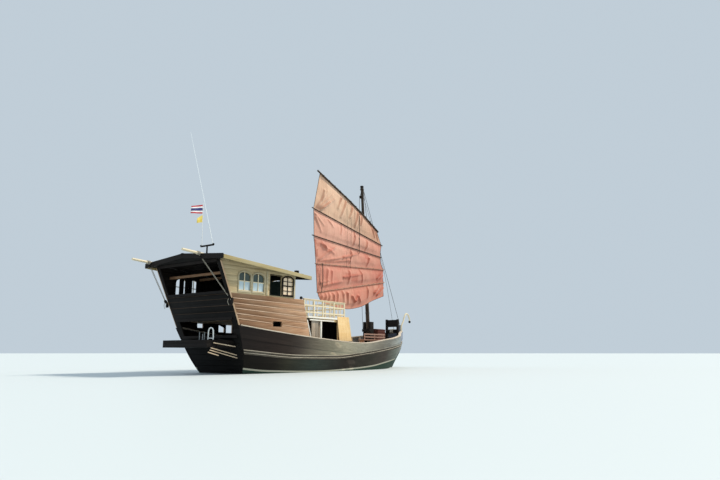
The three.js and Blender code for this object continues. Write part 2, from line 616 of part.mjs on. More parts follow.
function buildLadder() {
  const { headX, headZ, footX, footZ, wide, thick, y0, y1 } = STEPS;
  const string = (y) => loft([y, y + thick].map((at) => [point(headX, at, headZ),
    point(headX + wide, at, headZ), point(footX + wide, at, footZ), point(footX, at, footZ)]));
  const pieces = [string(y0), string(y1 - thick)];
  for (let i = 0; i < STEPS.count; i += 1) {
    const z = STEPS.firstZ + i * STEPS.rise;
    const x = footX + ((z - footZ) * (headX - footX)) / (headZ - footZ);
    pieces.push(block([x, y0 + 10, z], [x + wide + 20, y1 - 10, z + 35]));
  }
  add('companion_ladder', seated(join(pieces)), COLOURS.deck);
}

const mastAt = (z) => point(MAST_X - MAST_RAKE * z, 0, z);

// Two heavy posts beside the mast, tied by a beam abaft it.
const BITTS = { y: 190, half: 60, along: 160, low: 700, top: 2520, beamLow: 1980, beamTop: 2120 };

function buildMast() {
  const spar = bar(mastAt(MAST.foot - 400), mastAt(MAST.top), MAST.footR, MAST.topR, 16);
  add('mast', seated(spar), COLOURS.spar);
  const { y, half, along, low, top, beamLow, beamTop } = BITTS;
  const { x } = mastAt(1700);
  const pieces = [-y, y].map((at) =>
    block([x - along, at - half, low], [x + along, at + half, top]));
  pieces.push(block([x - along - 100, -y - half, beamLow], [x - along - 15, y + half, beamTop]));
  [-y, y].forEach((at) => pieces.push(block([x - along - 100, at - half + 0.5, beamLow],
    [x - along + 60, at + half - 0.5, beamTop])));
  add('mast_bitts', seated(join(pieces)), COLOURS.dark);
  const head = mastAt(MAST.top + GAP);
  add('mast_cap', bar(head, mastAt(MAST.top + 90), 110, 90), COLOURS.dark);
}

// The forestay's collar sits above the halyard's, so that the halyard turns under it.
const STAY_Z = 10140;
const COLLAR_HALF = 25;
const HOOK = { clear: 6, outer: 112, high: 40 };

function buildForestay() {
  const centre = mastAt(STAY_Z);
  const radius = mastRadius(STAY_Z);
  const head = centre.clone().add(point(135, 0, 0));
  const ring = collar(centre, MAST_AXIS, radius + 2 * GAP, radius + 25, 2 * COLLAR_HALF);
  const lug = block([centre.x + radius + 4, -17, STAY_Z - 17], [head.x + 19, 17, STAY_Z + 17]);
  const foot = point(STEM_FORE - 95, 0, STEM_HEAD + 20);
  const footPlate = block([foot.x - 56, -41, STEM_HEAD + GAP], [foot.x + 56, 41, STEM_HEAD + 42]);
  add('forestay', join([bar(head, foot, 11, 11, 8), ring, lug, footPlate]), COLOURS.rope);
}

// Sail outline, as x and z seen from the side: yard, leech, foot and luff corners.
const SAIL = [
  [5930, 9962], [5460, 8000], [5530, 6600], [5700, 5210], [5830, 3810], [6150, 3320],
  [7150, 3160], [8260, 3100], [9500, 3270], [10800, 3720], [11930, 4060],
  [11930, 4860], [11930, 5610], [11640, 6310], [11750, 7030], [11290, 7805], [9980, 8435],
  [8590, 9020], [7120, 9550],
];
// Battens from leech to luff: x0, z0, x1, z1.
const BATTENS = [
  [5300, 8010, 11820, 7030], [5340, 6600, 11710, 6310],
  [5610, 5200, 11990, 5620], [5770, 3772, 11990, 4870],
];
// Middle line of the yard, as x and z, from the peak.
const YARD = [[5690, 10050], [7120, 9545], [8590, 9015], [9980, 8430], [11340, 7780]];
const SLING_Z = 8345;            // where the halyard holds the yard

const BATTEN_R = 26;
const YARD_R = 45;

function buildSail() {
  const battenY = SAIL_Y - CLOTH - BATTEN_R - GAP;
  const battens = BATTENS.map(([x0, z0, x1, z1]) => {
    const share = (MAST_X - MAST_RAKE * z0 - x0) / (x1 - x0);
    const at = mastAt(z0 + (z1 - z0) * share);
    const link = (grow) => block([at.x - 25 - grow, battenY, at.z - 20 - grow],
      [at.x + 25 + grow, SAIL_Y + 30, at.z + 20 + grow]);
    const spar = bar(point(x0, battenY, z0), point(x1, battenY, z1), BATTEN_R, BATTEN_R, 8);
    return { spar, at, link };
  });
  battens.forEach(({ spar, at, link }, i) => {
    add(`batten_${i + 1}`, join([spar, link(0), parrel(at.z)]), COLOURS.spar);
  });
  const slots = battens.map(({ link }) => link(1));
  add('sail_cloth', cut(plate(SAIL, SAIL_Y - CLOTH, SAIL_Y), ...slots), COLOURS.sail);
  buildYard();
}

// The yard lies flat against the cloth and hangs by its halyard from a collar under the masthead.
function buildYard() {
  const yardY = SAIL_Y - CLOTH - YARD_R + 5;
  const hookZ = STAY_Z - COLLAR_HALF - 2 * GAP - HOOK.high / 2;
  const hook = collar(mastAt(hookZ), MAST_AXIS, mastRadius(hookZ) + HOOK.clear, HOOK.outer, HOOK.high);
  const sling = mastAt(SLING_Z).add(point(0, yardY, 0));
  const halyard = bar(mastAt(hookZ).add(point(0, 13 - HOOK.outer, 0)), sling, 12, 12, 8);
  const clothSide = block([4000, SAIL_Y - CLOTH - GAP, 6000], [13000, SAIL_Y + 100, 11000]);
  const spar = cut(tube(YARD.map(([x, z]) => point(x, yardY, z)), YARD_R, 10, 16), clothSide);
  add('yard', join([spar, hook, halyard]), COLOURS.spar);
}

// A smooth round tube through points.
function tube(points, radius, sides, steps) {
  const circle = new THREE.Shape();
  circle.absarc(0, 0, radius, 0, Math.PI * 2);
  const flat = new THREE.Shape(circle.getSpacedPoints(sides).slice(0, sides));
  const path = new THREE.CatmullRomCurve3(points);
  return new THREE.ExtrudeGeometry(flat, { steps, extrudePath: path, bevelEnabled: false });
}

// A ring of square section round a round spar.
function collar(centre, axis, inner, outer, high, sides = 16) {
  const turn = new THREE.Quaternion().setFromUnitVectors(point(0, 1, 0), axis.clone().normalize());
  return hoop(inner, outer, high, sides).applyQuaternion(turn).translate(...centre.toArray());
}

// A ring of square section round the y axis.
function hoop(inner, outer, high, sides) {
  const profile = rectangle(inner, -high / 2, outer, high / 2);
  return new THREE.LatheGeometry([...profile, profile[0]].map(([r, h]) => new THREE.Vector2(r, h)), sides);
}

const MAST_AXIS = point(-MAST_RAKE, 0, 1).normalize();
const mastRadius = (z) => MAST.footR + (MAST.topR - MAST.footR) * ((z - MAST.foot) / (MAST.top - MAST.foot));

// A loop of rope round the mast that reaches to the cloth.
const parrel = (z) => collar(mastAt(z), MAST_AXIS, -SAIL_Y - GAP - 40, -SAIL_Y - GAP, 34);

function buildRudder() {
  const blade = plate([[-130, -1090], [RUDDER.x + 110, -1090], [RUDDER.x + 90, -480], [-60, -450]], -28, 28);
  const stock = bar(point(RUDDER.x, 0, RUDDER.shoe + GAP), point(RUDDER.x, 0, -260), RUDDER.stock);
  add('rudder', join([blade, stock]), COLOURS.dark);
}

function buildPropeller() {
  const { x, z, hub, blade: radius, reach, thick, pitch } = PROP;
  const pieces = [bar(point(x - 90, 0, z), point(x + 230 - GAP, 0, z), hub, hub - 7)];
  for (let i = 0; i < 3; i += 1) {
    const blade = new THREE.CylinderGeometry(radius, radius, thick, 12).rotateZ(Math.PI / 2 + pitch);
    pieces.push(blade.translate(0, 0, reach).rotateX((Math.PI * 2 * i) / 3).translate(x, 0, z));
  }
  add('propeller', join(pieces), COLOURS.bronze);
}

const HELM = { x: 950, z: 3130, radius: 330, rim: 40, grip: 95, post: 60 };

function buildHelm() {
  const { x, z, radius, rim: wide, grip, post } = HELM;
  const pedestal = block([x + post, -110, QUARTER_DECK + GAP], [x + post + 240, 110, z + 130]);
  add('helm_pedestal', pedestal, COLOURS.dark);
  const rim = hoop(radius + 15 - wide, radius + 15, 36, 24).rotateZ(Math.PI / 2);
  const pieces = [rim, bar(point(-30, 0, 0), point(post - GAP, 0, 0), 60)];
  const spoke = radius + 15 + grip;
  for (let i = 0; i < 3; i += 1) {
    pieces.push(bar(point(0, 0, -spoke), point(0, 0, spoke), 15, 15, 8).rotateX((Math.PI * i) / 3));
  }
  add('helm_wheel', join(pieces).translate(x, 0, z), COLOURS.panel);
}

// Foredeck: hatch with a lid, bench, windlass between tall bitts with a board across.
const HATCH = { x0: 11000, x1: 11750, y: 420, top: 2080, wall: 60 };
const BENCH = { x0: 8050, x1: 10000, y0: -1520, y1: -1150, seat: 1450, thick: 50, leg: 60 };
const BENCH_BACK = { slats: [1580, 1720], high: 70, thick: 28 };

function buildForedeck() {
  const { x0, x1, y, top, wall } = HATCH;
  const well = block([x0 + wall, -y + wall, 900], [x1 - wall, y - wall, top + 50]);
  add('hatch_coaming', seated(cut(block([x0, -y, 1000], [x1, y, top]), well)), COLOURS.wale);
  const lid = block([x0 - 20, -y - 20, top + GAP], [x1 + 20, y + 20, top + 70]);
  add('hatch_lid', lid, COLOURS.redPlank);
  buildBench();
}

// A bench along the starboard side, its slatted back outboard.
function buildBench() {
  const { seat, thick, leg } = BENCH;
  const { slats, high, thick: slat } = BENCH_BACK;
  const bench = [block([BENCH.x0, BENCH.y0, seat], [BENCH.x1, BENCH.y1, seat + thick])];
  [BENCH.x0 + 50, (BENCH.x0 + BENCH.x1) / 2, BENCH.x1 - 50 - leg].forEach((x) => {
    bench.push(block([x, BENCH.y0 + 50, 900], [x + leg, BENCH.y1 - 50, seat + 10]));
    bench.push(block([x, BENCH.y0 + 20, seat + 20], [x + leg, BENCH.y0 + 60, slats[1] + high - 10]));
  });
  slats.forEach((z) => bench.push(block([BENCH.x0, BENCH.y0, z], [BENCH.x1, BENCH.y0 + slat, z + high])));
  add('bench', seated(join(bench)), COLOURS.cap);
}

const WINDLASS = { x: 13200, z: 2080, radius: 110, half: 330, head: 2780 };

function buildWindlass() {
  const { x, z, half, radius, head } = WINDLASS;
  const posts = [-1, 1].map((side) => {
    const y = side * (half + 50);
    return block([x - 80, y - 50, 1200], [x + 80, y + 50, head]);
  });
  const sill = block([x - 60, -half - 60, 1300], [x + 60, half + 60, 1720]);
  const board = block([x - 30, -half - 60, head - 450], [x + 30, half + 60, head - 30]);
  add('windlass_bitts', seated(join([...posts, sill, board])), COLOURS.dark);
  const drum = bar(point(x, -half + GAP, z), point(x, half - GAP, z), radius, radius, 12);
  add('windlass_drum', drum, COLOURS.dark);
}

function buildRoofGear() {
  const { x, top, arm, aerialFoot, aerialTip, poleY, poleTop, poleR, rake } = ROOF_GEAR;
  const z = roofTop(x - 35, 0) + 70 + 2 * GAP;
  const post = join([bar(point(x, 0, z), point(x, 0, top), 35, 30, 8),
    block([x - 30, -arm, top - 60], [x + 30, arm, top])]);
  add('roof_post', post, COLOURS.dark);
  const aerial = bar(point(x, aerialFoot, top + 3.8), point(...aerialTip), 14, 6, 8);
  add('aerial', aerial, COLOURS.white);
  const pole = (at) => point(x - rake * (at - top), poleY, at);
  add('flagpole', bar(pole(top + 0.7), pole(poleTop), poleR, poleR, 8), COLOURS.white);
  const hoist = (at) => [pole(at).x - poleR - 0.7, at];
  const bunting = [hoist(6480), hoist(6870), [-1700, 6680], [-1690, 6380]];
  add('flag', plate(bunting, poleY - 2, poleY + 2), COLOURS.flag);
}

// Post on the roof whose crossbar carries the whip aerial and the flagpole.
const ROOF_GEAR = {
  x: -1030, top: 5140, arm: 380, aerialFoot: -340, aerialTip: [-1980, 250, 9750],
  poleY: 330, poleTop: 6930, poleR: 11, rake: 0.03,
};

// Curved beam over the bow, as x and z above its foot on the cap rail.
const BOW_BEAM = [[13920, 2380], [14150, 2680], [14290, 2960], [14480, 3170], [14720, 3140],
  [14880, 2960], [14930, 2760]];
const BOW_BEAM_Y = -190;

function buildBowBeam() {
  const [[x]] = BOW_BEAM;
  const foot = sheerZ(shareAt(x + 45, 2080)) + CAP.high;
  const path = [[x, foot - 60], ...BOW_BEAM].map(([along, z]) => point(along, BOW_BEAM_Y, z));
  add('bow_davit', cut(tube(path, 45, 8, 18), capMould), COLOURS.cream);
}

buildHull();
buildKeel();
buildTransom();
buildQuarterdeck();
buildSternHouse();
buildRoof();
buildDavits();
buildPlatform();
buildBoardingLadder();
buildHoopRail();
buildMidHouse();
buildRailing();
buildLadder();
buildMast();
buildForestay();
buildSail();
buildRudder();
buildPropeller();
buildHelm();
buildForedeck();
buildWindlass();
buildRoofGear();
buildBowBeam();

export default ship;
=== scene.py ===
# %% [markdown]
# # A wooden junk under one sail
# The ship is about 18 m over all: a dark planked hull, a raised stern house, a railed mid house and one
# battened sail. Its solids come from the frame, and this lesson dresses them: every plank, rope,
# window and sheet of cloth is made here, in metres, in the same place as the solid it stands for.

# %% The frame
import json
import math

import bmesh
import bpy
import numpy as np
from mathutils import Matrix, Vector

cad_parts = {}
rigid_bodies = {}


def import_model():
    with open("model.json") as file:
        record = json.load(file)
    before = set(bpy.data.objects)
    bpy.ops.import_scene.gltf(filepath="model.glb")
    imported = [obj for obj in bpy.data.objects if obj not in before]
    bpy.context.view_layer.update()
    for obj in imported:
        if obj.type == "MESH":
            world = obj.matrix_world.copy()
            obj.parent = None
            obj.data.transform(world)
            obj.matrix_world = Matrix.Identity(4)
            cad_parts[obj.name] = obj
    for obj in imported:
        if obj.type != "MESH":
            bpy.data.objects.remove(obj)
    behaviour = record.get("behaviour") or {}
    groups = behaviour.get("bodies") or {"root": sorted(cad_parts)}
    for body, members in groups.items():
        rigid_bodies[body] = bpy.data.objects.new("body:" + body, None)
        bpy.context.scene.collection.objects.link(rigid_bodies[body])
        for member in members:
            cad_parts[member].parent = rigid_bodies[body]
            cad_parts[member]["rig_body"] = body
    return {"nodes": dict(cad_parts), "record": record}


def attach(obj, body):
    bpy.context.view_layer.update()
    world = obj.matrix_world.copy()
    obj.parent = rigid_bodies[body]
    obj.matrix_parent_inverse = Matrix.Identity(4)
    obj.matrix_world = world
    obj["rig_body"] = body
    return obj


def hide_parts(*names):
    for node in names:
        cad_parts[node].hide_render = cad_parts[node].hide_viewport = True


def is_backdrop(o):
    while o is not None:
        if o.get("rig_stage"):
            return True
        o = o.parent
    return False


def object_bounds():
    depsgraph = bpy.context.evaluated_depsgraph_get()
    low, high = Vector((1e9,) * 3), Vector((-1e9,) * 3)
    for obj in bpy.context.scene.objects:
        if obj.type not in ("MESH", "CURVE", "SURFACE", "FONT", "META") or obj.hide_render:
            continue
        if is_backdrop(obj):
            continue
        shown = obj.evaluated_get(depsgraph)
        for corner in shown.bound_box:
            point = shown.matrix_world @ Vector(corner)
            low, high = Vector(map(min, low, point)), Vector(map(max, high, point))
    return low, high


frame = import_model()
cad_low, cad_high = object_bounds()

# %% [markdown]
# ## Where things are
# A shipwright measures along the hull from the foot of the transom at the waterline, so the lesson
# does too: x forward, y to port, z up from the waterline. The frame's origin lies half a waterline
# further forward, so every mesh moves back by that much when it is finished.

# %% Stations
WATERLINE = 13.0
AMIDSHIPS = WATERLINE / 2
rng = np.random.default_rng(7)


def at(x, y, z):
    return Vector((x, y, z))


SHIFT = at(AMIDSHIPS, 0, 0)
print("the frame's origin lies", AMIDSHIPS, "m forward of the transom's foot")


# %% [markdown]
# ## The camera and the light
# The eye is low on the starboard quarter and looks slightly up, as the horizon is below the middle.
# The floor lies at the waterline. One broad lamp stands high ahead to starboard, as the sun did, so
# the transom stays in shade, and a pale world fills the rest. An area lamp would fall off along so
# long a ship, so both lamps are suns.

# %% Camera, floor and light
EYE = at(-22.844, -18.333, 0.819)
EYE_YAW, EYE_PITCH = math.radians(35.0), math.radians(11.10)
EYE_LENS, EYE_SENSOR = 28.75, 36.0


def aim(obj, direction):
    obj.rotation_euler = direction.to_track_quat("-Z", "Y").to_euler()


def put(obj):
    """Links an object into the scene."""
    bpy.context.scene.collection.objects.link(obj)


camera = bpy.data.objects.new("camera", bpy.data.cameras.new("camera"))
camera.location = EYE
camera.data.lens, camera.data.sensor_width, camera.data.clip_end = EYE_LENS, EYE_SENSOR, 2000
aim(camera, at(math.cos(EYE_YAW) * math.cos(EYE_PITCH), math.sin(EYE_YAW) * math.cos(EYE_PITCH),
               math.sin(EYE_PITCH)))
put(camera)
bpy.context.scene.camera = camera
bpy.context.scene.view_settings.view_transform = "Standard"


def linear(colour):
    """An sRGB hex colour as the linear values that shaders use."""
    parts = [int(colour[i:i + 2], 16) / 255 for i in (1, 3, 5)]
    return (*[c / 12.92 if c <= 0.04045 else ((c + 0.055) / 1.055) ** 2.4 for c in parts], 1.0)


def node(tree, kind, links=None, stops=(), **settings):
    """One node with its settings, and inputs as values or sockets. Stops are a ramp's places and colours."""
    made = tree.nodes.new(kind)
    for key, value in settings.items():
        setattr(made, key, value)
    for key, value in (links or {}).items():
        if isinstance(value, bpy.types.NodeSocket):
            tree.links.new(value, made.inputs[key])
        else:
            made.inputs[key].default_value = value
    if stops:
        bar = made.color_ramp.elements
        bar[0].position, bar[0].color = stops[0][0], linear(stops[0][1])
        bar[1].position, bar[1].color = stops[-1][0], linear(stops[-1][1])
        for place, colour in stops[1:-1]:
            bar.new(place).color = linear(colour)
    return made


def finish(name, roughness):
    """A new material with its nodes and its shader."""
    made = bpy.data.materials.new(name)
    made.use_nodes = True
    shader = made.node_tree.nodes["Principled BSDF"]
    shader.inputs["Roughness"].default_value = roughness
    return made, made.node_tree, shader


# A mix that multiplies.
TINT = {"data_type": "RGBA", "blend_type": "MULTIPLY"}


def plain(name, colour, roughness, metallic=0.0):
    made, _, shader = finish(name, roughness)
    shader.inputs["Base Color"].default_value = linear(colour)
    shader.inputs["Metallic"].default_value = metallic
    return made


def lamp(name, direction, strength, colour, spread):
    """A sun shining along a direction, its spread in degrees."""
    data = bpy.data.lights.new(name, "SUN")
    data.energy, data.color, data.angle = strength, linear(colour)[:3], math.radians(spread)
    made = bpy.data.objects.new(name, data)
    aim(made, Vector(direction))
    put(made)


lamp("key", (-0.50, 0.42, -0.76), 3.6, "#fff3e2", 9)
lamp("fill", (0.5, -0.8, -0.5), 0.5, "#dfe9f5", 40)
world = bpy.data.worlds.new("studio")
world.use_nodes = True
sky = world.node_tree.nodes["Background"].inputs
sky["Color"].default_value, sky["Strength"].default_value = linear("#cfdde8"), 0.85
bpy.context.scene.world = world

FLOOR_HALF = 900.0
floor_mesh = bpy.data.meshes.new("floor")
floor_mesh.from_pydata([(-FLOOR_HALF, -FLOOR_HALF, 0), (FLOOR_HALF, -FLOOR_HALF, 0),
                        (FLOOR_HALF, FLOOR_HALF, 0), (-FLOOR_HALF, FLOOR_HALF, 0)], [], [(0, 1, 2, 3)])
floor_mesh.materials.append(plain("floor", "#c9d3d6", 0.6))
floor = bpy.data.objects.new("floor", floor_mesh)
put(floor)
floor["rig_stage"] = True
print("camera at", tuple(round(c, 2) for c in EYE), "lamps", len(bpy.data.lights))

# %% [markdown]
# ## A pile of boards
# A ship is hundreds of boards, each with its own grain and its own shade. Modelling each as an
# object would be slow, and one big box would look dead. So a Pile gathers boards into one mesh: each
# board is a section pulled along a path, its UV map lies along its length in metres, and a number
# called tone says how light it came out of the saw.


# %% Sections and piles
def plank_section(width, thick, chamfer=0.006):
    """A rectangle with its corners taken off, as points across and up."""
    w, t, c = width / 2, thick / 2, min(chamfer, width / 4, thick / 4)
    return [(-w + c, -t), (w - c, -t), (w, -t + c), (w, t - c), (w - c, t), (-w + c, t), (-w, t - c),
            (-w, -t + c)]


def round_section(radius, sides=10):
    return [(radius * math.cos(math.tau * i / sides), radius * math.sin(math.tau * i / sides))
            for i in range(sides)]


def turns_of(count):
    """Equal steps of angle once round a circle."""
    return np.linspace(0, math.tau, count + 1)[:-1]


def keep_number(mesh, title, values, domain="POINT"):
    """Keeps a number with each point or face of a mesh, for a finish to read."""
    mesh.attributes.new(title, "FLOAT", domain).data.foreach_set("value", np.array(values, np.float32))


# Ropes are swept level with a direction that none of them runs along.
ROPE_UP, CURVE_STEPS = (0.13, 0.17, 0.97), 6


class Pile:
    """Boards, rods and sheets gathered into one mesh."""

    def __init__(self):
        self.points, self.faces, self.grain, self.tones, self.extra = [], [], [], [], []

    def loft(self, rings, tone=None, caps=True):
        """A body through rings of equal point count, its ends closed by caps."""
        count, first = len(rings[0]), len(self.points)
        tone = rng.random() if tone is None else tone
        middle = [sum(ring, Vector()) / count for ring in rings]
        along = np.concatenate([[0.0], np.cumsum([(b - a).length for a, b in zip(middle, middle[1:])])])
        around = np.concatenate([[0.0], np.cumsum([(rings[0][(i + 1) % count] - rings[0][i]).length
                                                   for i in range(count)])])
        start = rng.random() * 9
        for ring in rings:
            self.points.extend(ring)
            self.tones.extend([tone] * count)
            self.extra.extend([0.0] * count)
        for r in range(len(rings) - 1):
            for i in range(count):
                a, b = first + r * count + i, first + r * count + (i + 1) % count
                self.faces.append((a, b, b + count, a + count))
                u0, u1, v0, v1 = start + along[r], start + along[r + 1], around[i], around[i + 1]
                self.grain.extend([(u0, v0), (u0, v1), (u1, v1), (u1, v0)])
        if caps:
            for r, turn in ((0, -1), (len(rings) - 1, 1)):
                face = [first + r * count + i for i in range(count)][::turn]
                self.faces.append(tuple(face))
                self.grain.extend([(self.points[k].y * 0.3 + start, self.points[k].z) for k in face])

    def sweep(self, path, section, up=(0, 0, 1), tone=None, scales=None, closed=False):
        """A section pulled along a path of points, level with up."""
        path = [Vector(p) for p in path]
        last = len(path) - 1
        rings = []
        for i, p in enumerate(path):
            ahead = path[(i + 1) % len(path)] if closed else path[min(i + 1, last)]
            behind = path[i - 1] if (closed or i) else path[0]
            tangent = (ahead - behind).normalized()
            across = tangent.cross(Vector(up)).normalized()
            rise = across.cross(tangent).normalized()
            k = scales[i] if scales else 1.0
            rings.append([p + across * (a * k) + rise * (b * k) for a, b in section])
        if closed:
            rings.append(list(rings[0]))
        self.loft(rings, tone, caps=not closed)

    def board(self, a, b, width, thick, up=(0, 0, 1), tone=None):
        self.sweep([a, b], plank_section(width, thick), up, tone)

    def rod(self, a, b, radius, sides=10):
        a, b = Vector(a), Vector(b)
        up = (0, 0, 1) if abs((b - a).normalized().z) < 0.9 else (1, 0, 0)
        self.sweep([a, b], round_section(radius, sides), up)

    def rope(self, points, radius):
        """A rope through points on a smooth curve."""
        self.sweep(smooth_path(points), round_section(radius, 6), ROPE_UP)

    def box(self, low, high):
        """A board along its longest side, given by its lowest and highest corner."""
        low, high = Vector(low), Vector(high)
        size, middle = high - low, (low + high) / 2
        longest = max(range(3), key=lambda i: size[i])
        half = Vector([size[i] / 2 if i == longest else 0 for i in range(3)])
        up_axis = 2 if longest != 2 else 1
        side_axis = ({0, 1, 2} - {longest, up_axis}).pop()
        up = Vector([1.0 if i == up_axis else 0.0 for i in range(3)])
        self.board(middle - half, middle + half, size[side_axis], size[up_axis], up)

    def piece(self, name, material, slot, body="ship", replaces=()):
        """The pile as one object that rides on a body."""
        mesh = bpy.data.meshes.new(name)
        mesh.from_pydata([p - SHIFT for p in self.points], [], self.faces)
        grain = mesh.uv_layers.new(name="Grain")
        grain.data.foreach_set("uv", np.array(self.grain, np.float32).ravel())
        keep_number(mesh, "tone", self.tones)
        keep_number(mesh, "extra", self.extra)
        work = bmesh.new()
        work.from_mesh(mesh)
        bmesh.ops.remove_doubles(work, verts=work.verts, dist=1e-5)
        bmesh.ops.recalc_face_normals(work, faces=work.faces)
        work.to_mesh(mesh)
        work.free()
        return settle(mesh, name, material, body, replaces, slot)


def settle(mesh, name, material, body="ship", replaces=(), slot=None, angle=35):
    """A finished mesh as an object: smooth but for its sharp edges, and riding on its body."""
    mesh.shade_smooth()
    mesh.set_sharp_from_angle(angle=math.radians(angle))
    mesh.materials.clear()
    mesh.materials.append(material)
    made = bpy.data.objects.new(name, mesh)
    put(made)
    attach(made, body)
    if replaces:
        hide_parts(*([replaces] if isinstance(replaces, str) else replaces))
    print(name, "on", body, "faces", len(mesh.polygons))
    return made


def smooth_path(points):
    """A curve through points that passes each along the line between its neighbours."""
    points = [Vector(p) for p in points]
    ends = [points[0] * 2 - points[1], *points, points[-1] * 2 - points[-2]]
    path = []
    for a, b, c, d in zip(ends, ends[1:], ends[2:], ends[3:]):
        for k in range(CURVE_STEPS):
            t = k / CURVE_STEPS
            path.append(0.5 * ((2 * b) + (c - a) * t + (2 * a - 5 * b + 4 * c - d) * t * t
                               + (3 * b - a - 3 * c + d) * t ** 3))
    return [*path, points[-1]]


# %% [markdown]
# ## Timber
# Softwood and teak planking, sawn, oiled and left to the sun. Up close the eye sees fine rings that
# run along each plank, further off a change of shade from one plank to the next, and from a boat's
# length off only the bleached and the damp patches. The rings are really 2 to 4 mm apart, too fine
# for the picture, so they are drawn about 20 mm wide.


# %% Timber material
RING_WIDTH, RING_LENGTH = 0.020, 0.55
RING_RELIEF, BOARD_SHIFT, PATCH_STRETCH = 0.004, 43.0, (0.35, 2.0, 2.6)
MATT = 0.18


def timber(name, dark, mid, light, bleach="#8d8a82", bleached=0.2, spread=0.5, rough=0.75, bump=0.35,
           painted=0.0):
    """Sawn timber with its grain along the UV map's first axis. Paint hides the grain's colour."""
    made, tree, shader = finish(name, rough)
    lie = node(tree, "ShaderNodeUVMap", uv_map="Grain").outputs["UV"]
    tone = node(tree, "ShaderNodeAttribute", attribute_name="tone").outputs["Fac"]
    flat = node(tree, "ShaderNodeSeparateXYZ", {"Vector": lie})
    deep = node(tree, "ShaderNodeMath", {0: tone, 1: BOARD_SHIFT}, operation="MULTIPLY")
    place = node(tree, "ShaderNodeCombineXYZ",
                 {"X": flat.outputs["X"], "Y": flat.outputs["Y"], "Z": deep.outputs[0]})
    scaled = node(tree, "ShaderNodeMapping",
                  {"Vector": place.outputs[0], "Scale": (1 / RING_LENGTH, 1 / RING_WIDTH, 1.0)})
    rings = node(tree, "ShaderNodeTexNoise", {"Vector": scaled.outputs[0], "Scale": 1.0, "Detail": 5.0,
                                              "Roughness": 0.62, "Distortion": 0.4})
    grain = node(tree, "ShaderNodeValToRGB", {"Fac": rings.outputs["Fac"]},
                 [(0.30, dark), (0.52, mid), (0.74, light)])
    even = node(tree, "ShaderNodeMix", {"Factor": painted, "A": grain.outputs[0], "B": linear(mid)},
                data_type="RGBA")
    where = node(tree, "ShaderNodeTexCoord").outputs["Object"]
    long = node(tree, "ShaderNodeMapping", {"Vector": where, "Scale": PATCH_STRETCH})
    patch = node(tree, "ShaderNodeTexNoise",
                 {"Vector": long.outputs[0], "Scale": 1.1, "Detail": 8.0, "Roughness": 0.75})
    worn = node(tree, "ShaderNodeMapRange",
                {"Value": patch.outputs["Fac"], "From Min": 0.42, "From Max": 0.72, "To Max": bleached * 2})
    faded = node(tree, "ShaderNodeMix",
                 {"Factor": worn.outputs[0], "A": even.outputs[2], "B": linear(bleach)}, data_type="RGBA")
    shade = node(tree, "ShaderNodeMapRange",
                 {"Value": tone, "To Min": 1 - spread / 2, "To Max": 1 + spread / 2})
    toned = node(tree, "ShaderNodeMix", {"Factor": 1.0, "A": faded.outputs[2], "B": shade.outputs[0]},
                 **TINT)
    tree.links.new(toned.outputs[2], shader.inputs["Base Color"])
    dull = node(tree, "ShaderNodeMapRange",
                {"Value": rings.outputs["Fac"], "To Min": rough - 0.12, "To Max": rough + 0.12})
    tree.links.new(dull.outputs[0], shader.inputs["Roughness"])
    relief = node(tree, "ShaderNodeBump",
                  {"Height": rings.outputs["Fac"], "Strength": bump, "Distance": RING_RELIEF})
    tree.links.new(relief.outputs[0], shader.inputs["Normal"])
    shader.inputs["Specular IOR Level"].default_value = MATT
    return made


def shade_along(made, rows):
    """Multiplies a finish by a ramp over the ship's length, whose rows are x and a grey."""
    tree = made.node_tree
    base = tree.nodes["Principled BSDF"].inputs["Base Color"]
    where = node(tree, "ShaderNodeSeparateXYZ",
                 {"Vector": node(tree, "ShaderNodeTexCoord").outputs["Object"]})
    first, last = rows[0][0], rows[-1][0]
    share = node(tree, "ShaderNodeMapRange",
                 {"Value": where.outputs["X"], "From Min": first - AMIDSHIPS, "From Max": last - AMIDSHIPS})
    grey = node(tree, "ShaderNodeValToRGB", {"Fac": share.outputs[0]},
                [((x - first) / (last - first), shade) for x, shade in rows])
    final = node(tree, "ShaderNodeMix",
                 {"Factor": 1.0, "A": base.links[0].from_socket, "B": grey.outputs[0]}, **TINT)
    tree.links.new(final.outputs[2], base)


BLEACHED = timber("bleached_softwood", "#8c7a68", "#ad9c88", "#c8b9a4", "#bdb6a9", 0.3, 0.25)
STAINED = timber("stained_timber", "#080605", "#120d0b", "#1f1813", "#37302a", 0.10, 0.6)
REDDISH = timber("oiled_reddish_planking", "#866047", "#af896a", "#c9a686", "#c9b59d", 0.3, 0.22)
TAN = timber("varnished_tan_boards", "#8f7d58", "#b3a07a", "#c9b994", "#cfc3a4", 0.25, 0.16, 0.5)
SCRUBBED = timber("scrubbed_decking", "#76624d", "#99846b", "#b7a386", "#b5ada0", 0.35, 0.3)
WEATHERBOARD = timber("weathered_roof_boards", "#4b443a", "#6d655a", "#8a8274", "#98958c", 0.4, 0.35)
# Near black: the colour of the side lights' dark frames and bars, and painted shade on the inner faces of
# walls and on the boards behind the port windows.
DARK_WOOD_AND_SHADE = timber("dark_wood_and_painted_shade", "#0b0907", "#17120e", "#241d16", "#2c2620", 0.1, 0.4)
FASCIA = timber("light_fascia_board", "#8f7f53", "#a39265", "#b1a37a", "#b7b094", 0.3, 0.1)
CREAM = timber("cream_painted_timber", "#cfc0a0", "#e2d4b4", "#efe5cc", "#c9c0aa", 0.25, 0.08, 0.45,
               0.15, 0.75)
PANEL = timber("varnished_panel_board", "#cda569", "#e8c389", "#f6d8a4", "#f6e8c3", 0.2, 0.12, 0.45)
SPAR = timber("dark_oiled_spar", "#1d1613", "#33281f", "#4d3d2f", "#6e665b", 0.2, 0.3, 0.55)
print("finishes", len(bpy.data.materials))

# %% [markdown]
# ## The hull's own curve
# The table gives eight sections from transom to stem: heights and half breadths at the keel, bilge,
# waterline, topside and sheer. A curve with no overshoot reads between them, so the planks run fair.
# It is the same table as the solid hull's, so the planking lies exactly on it. A subdivided box could
# be the hull, but no plank could ask it for a point.

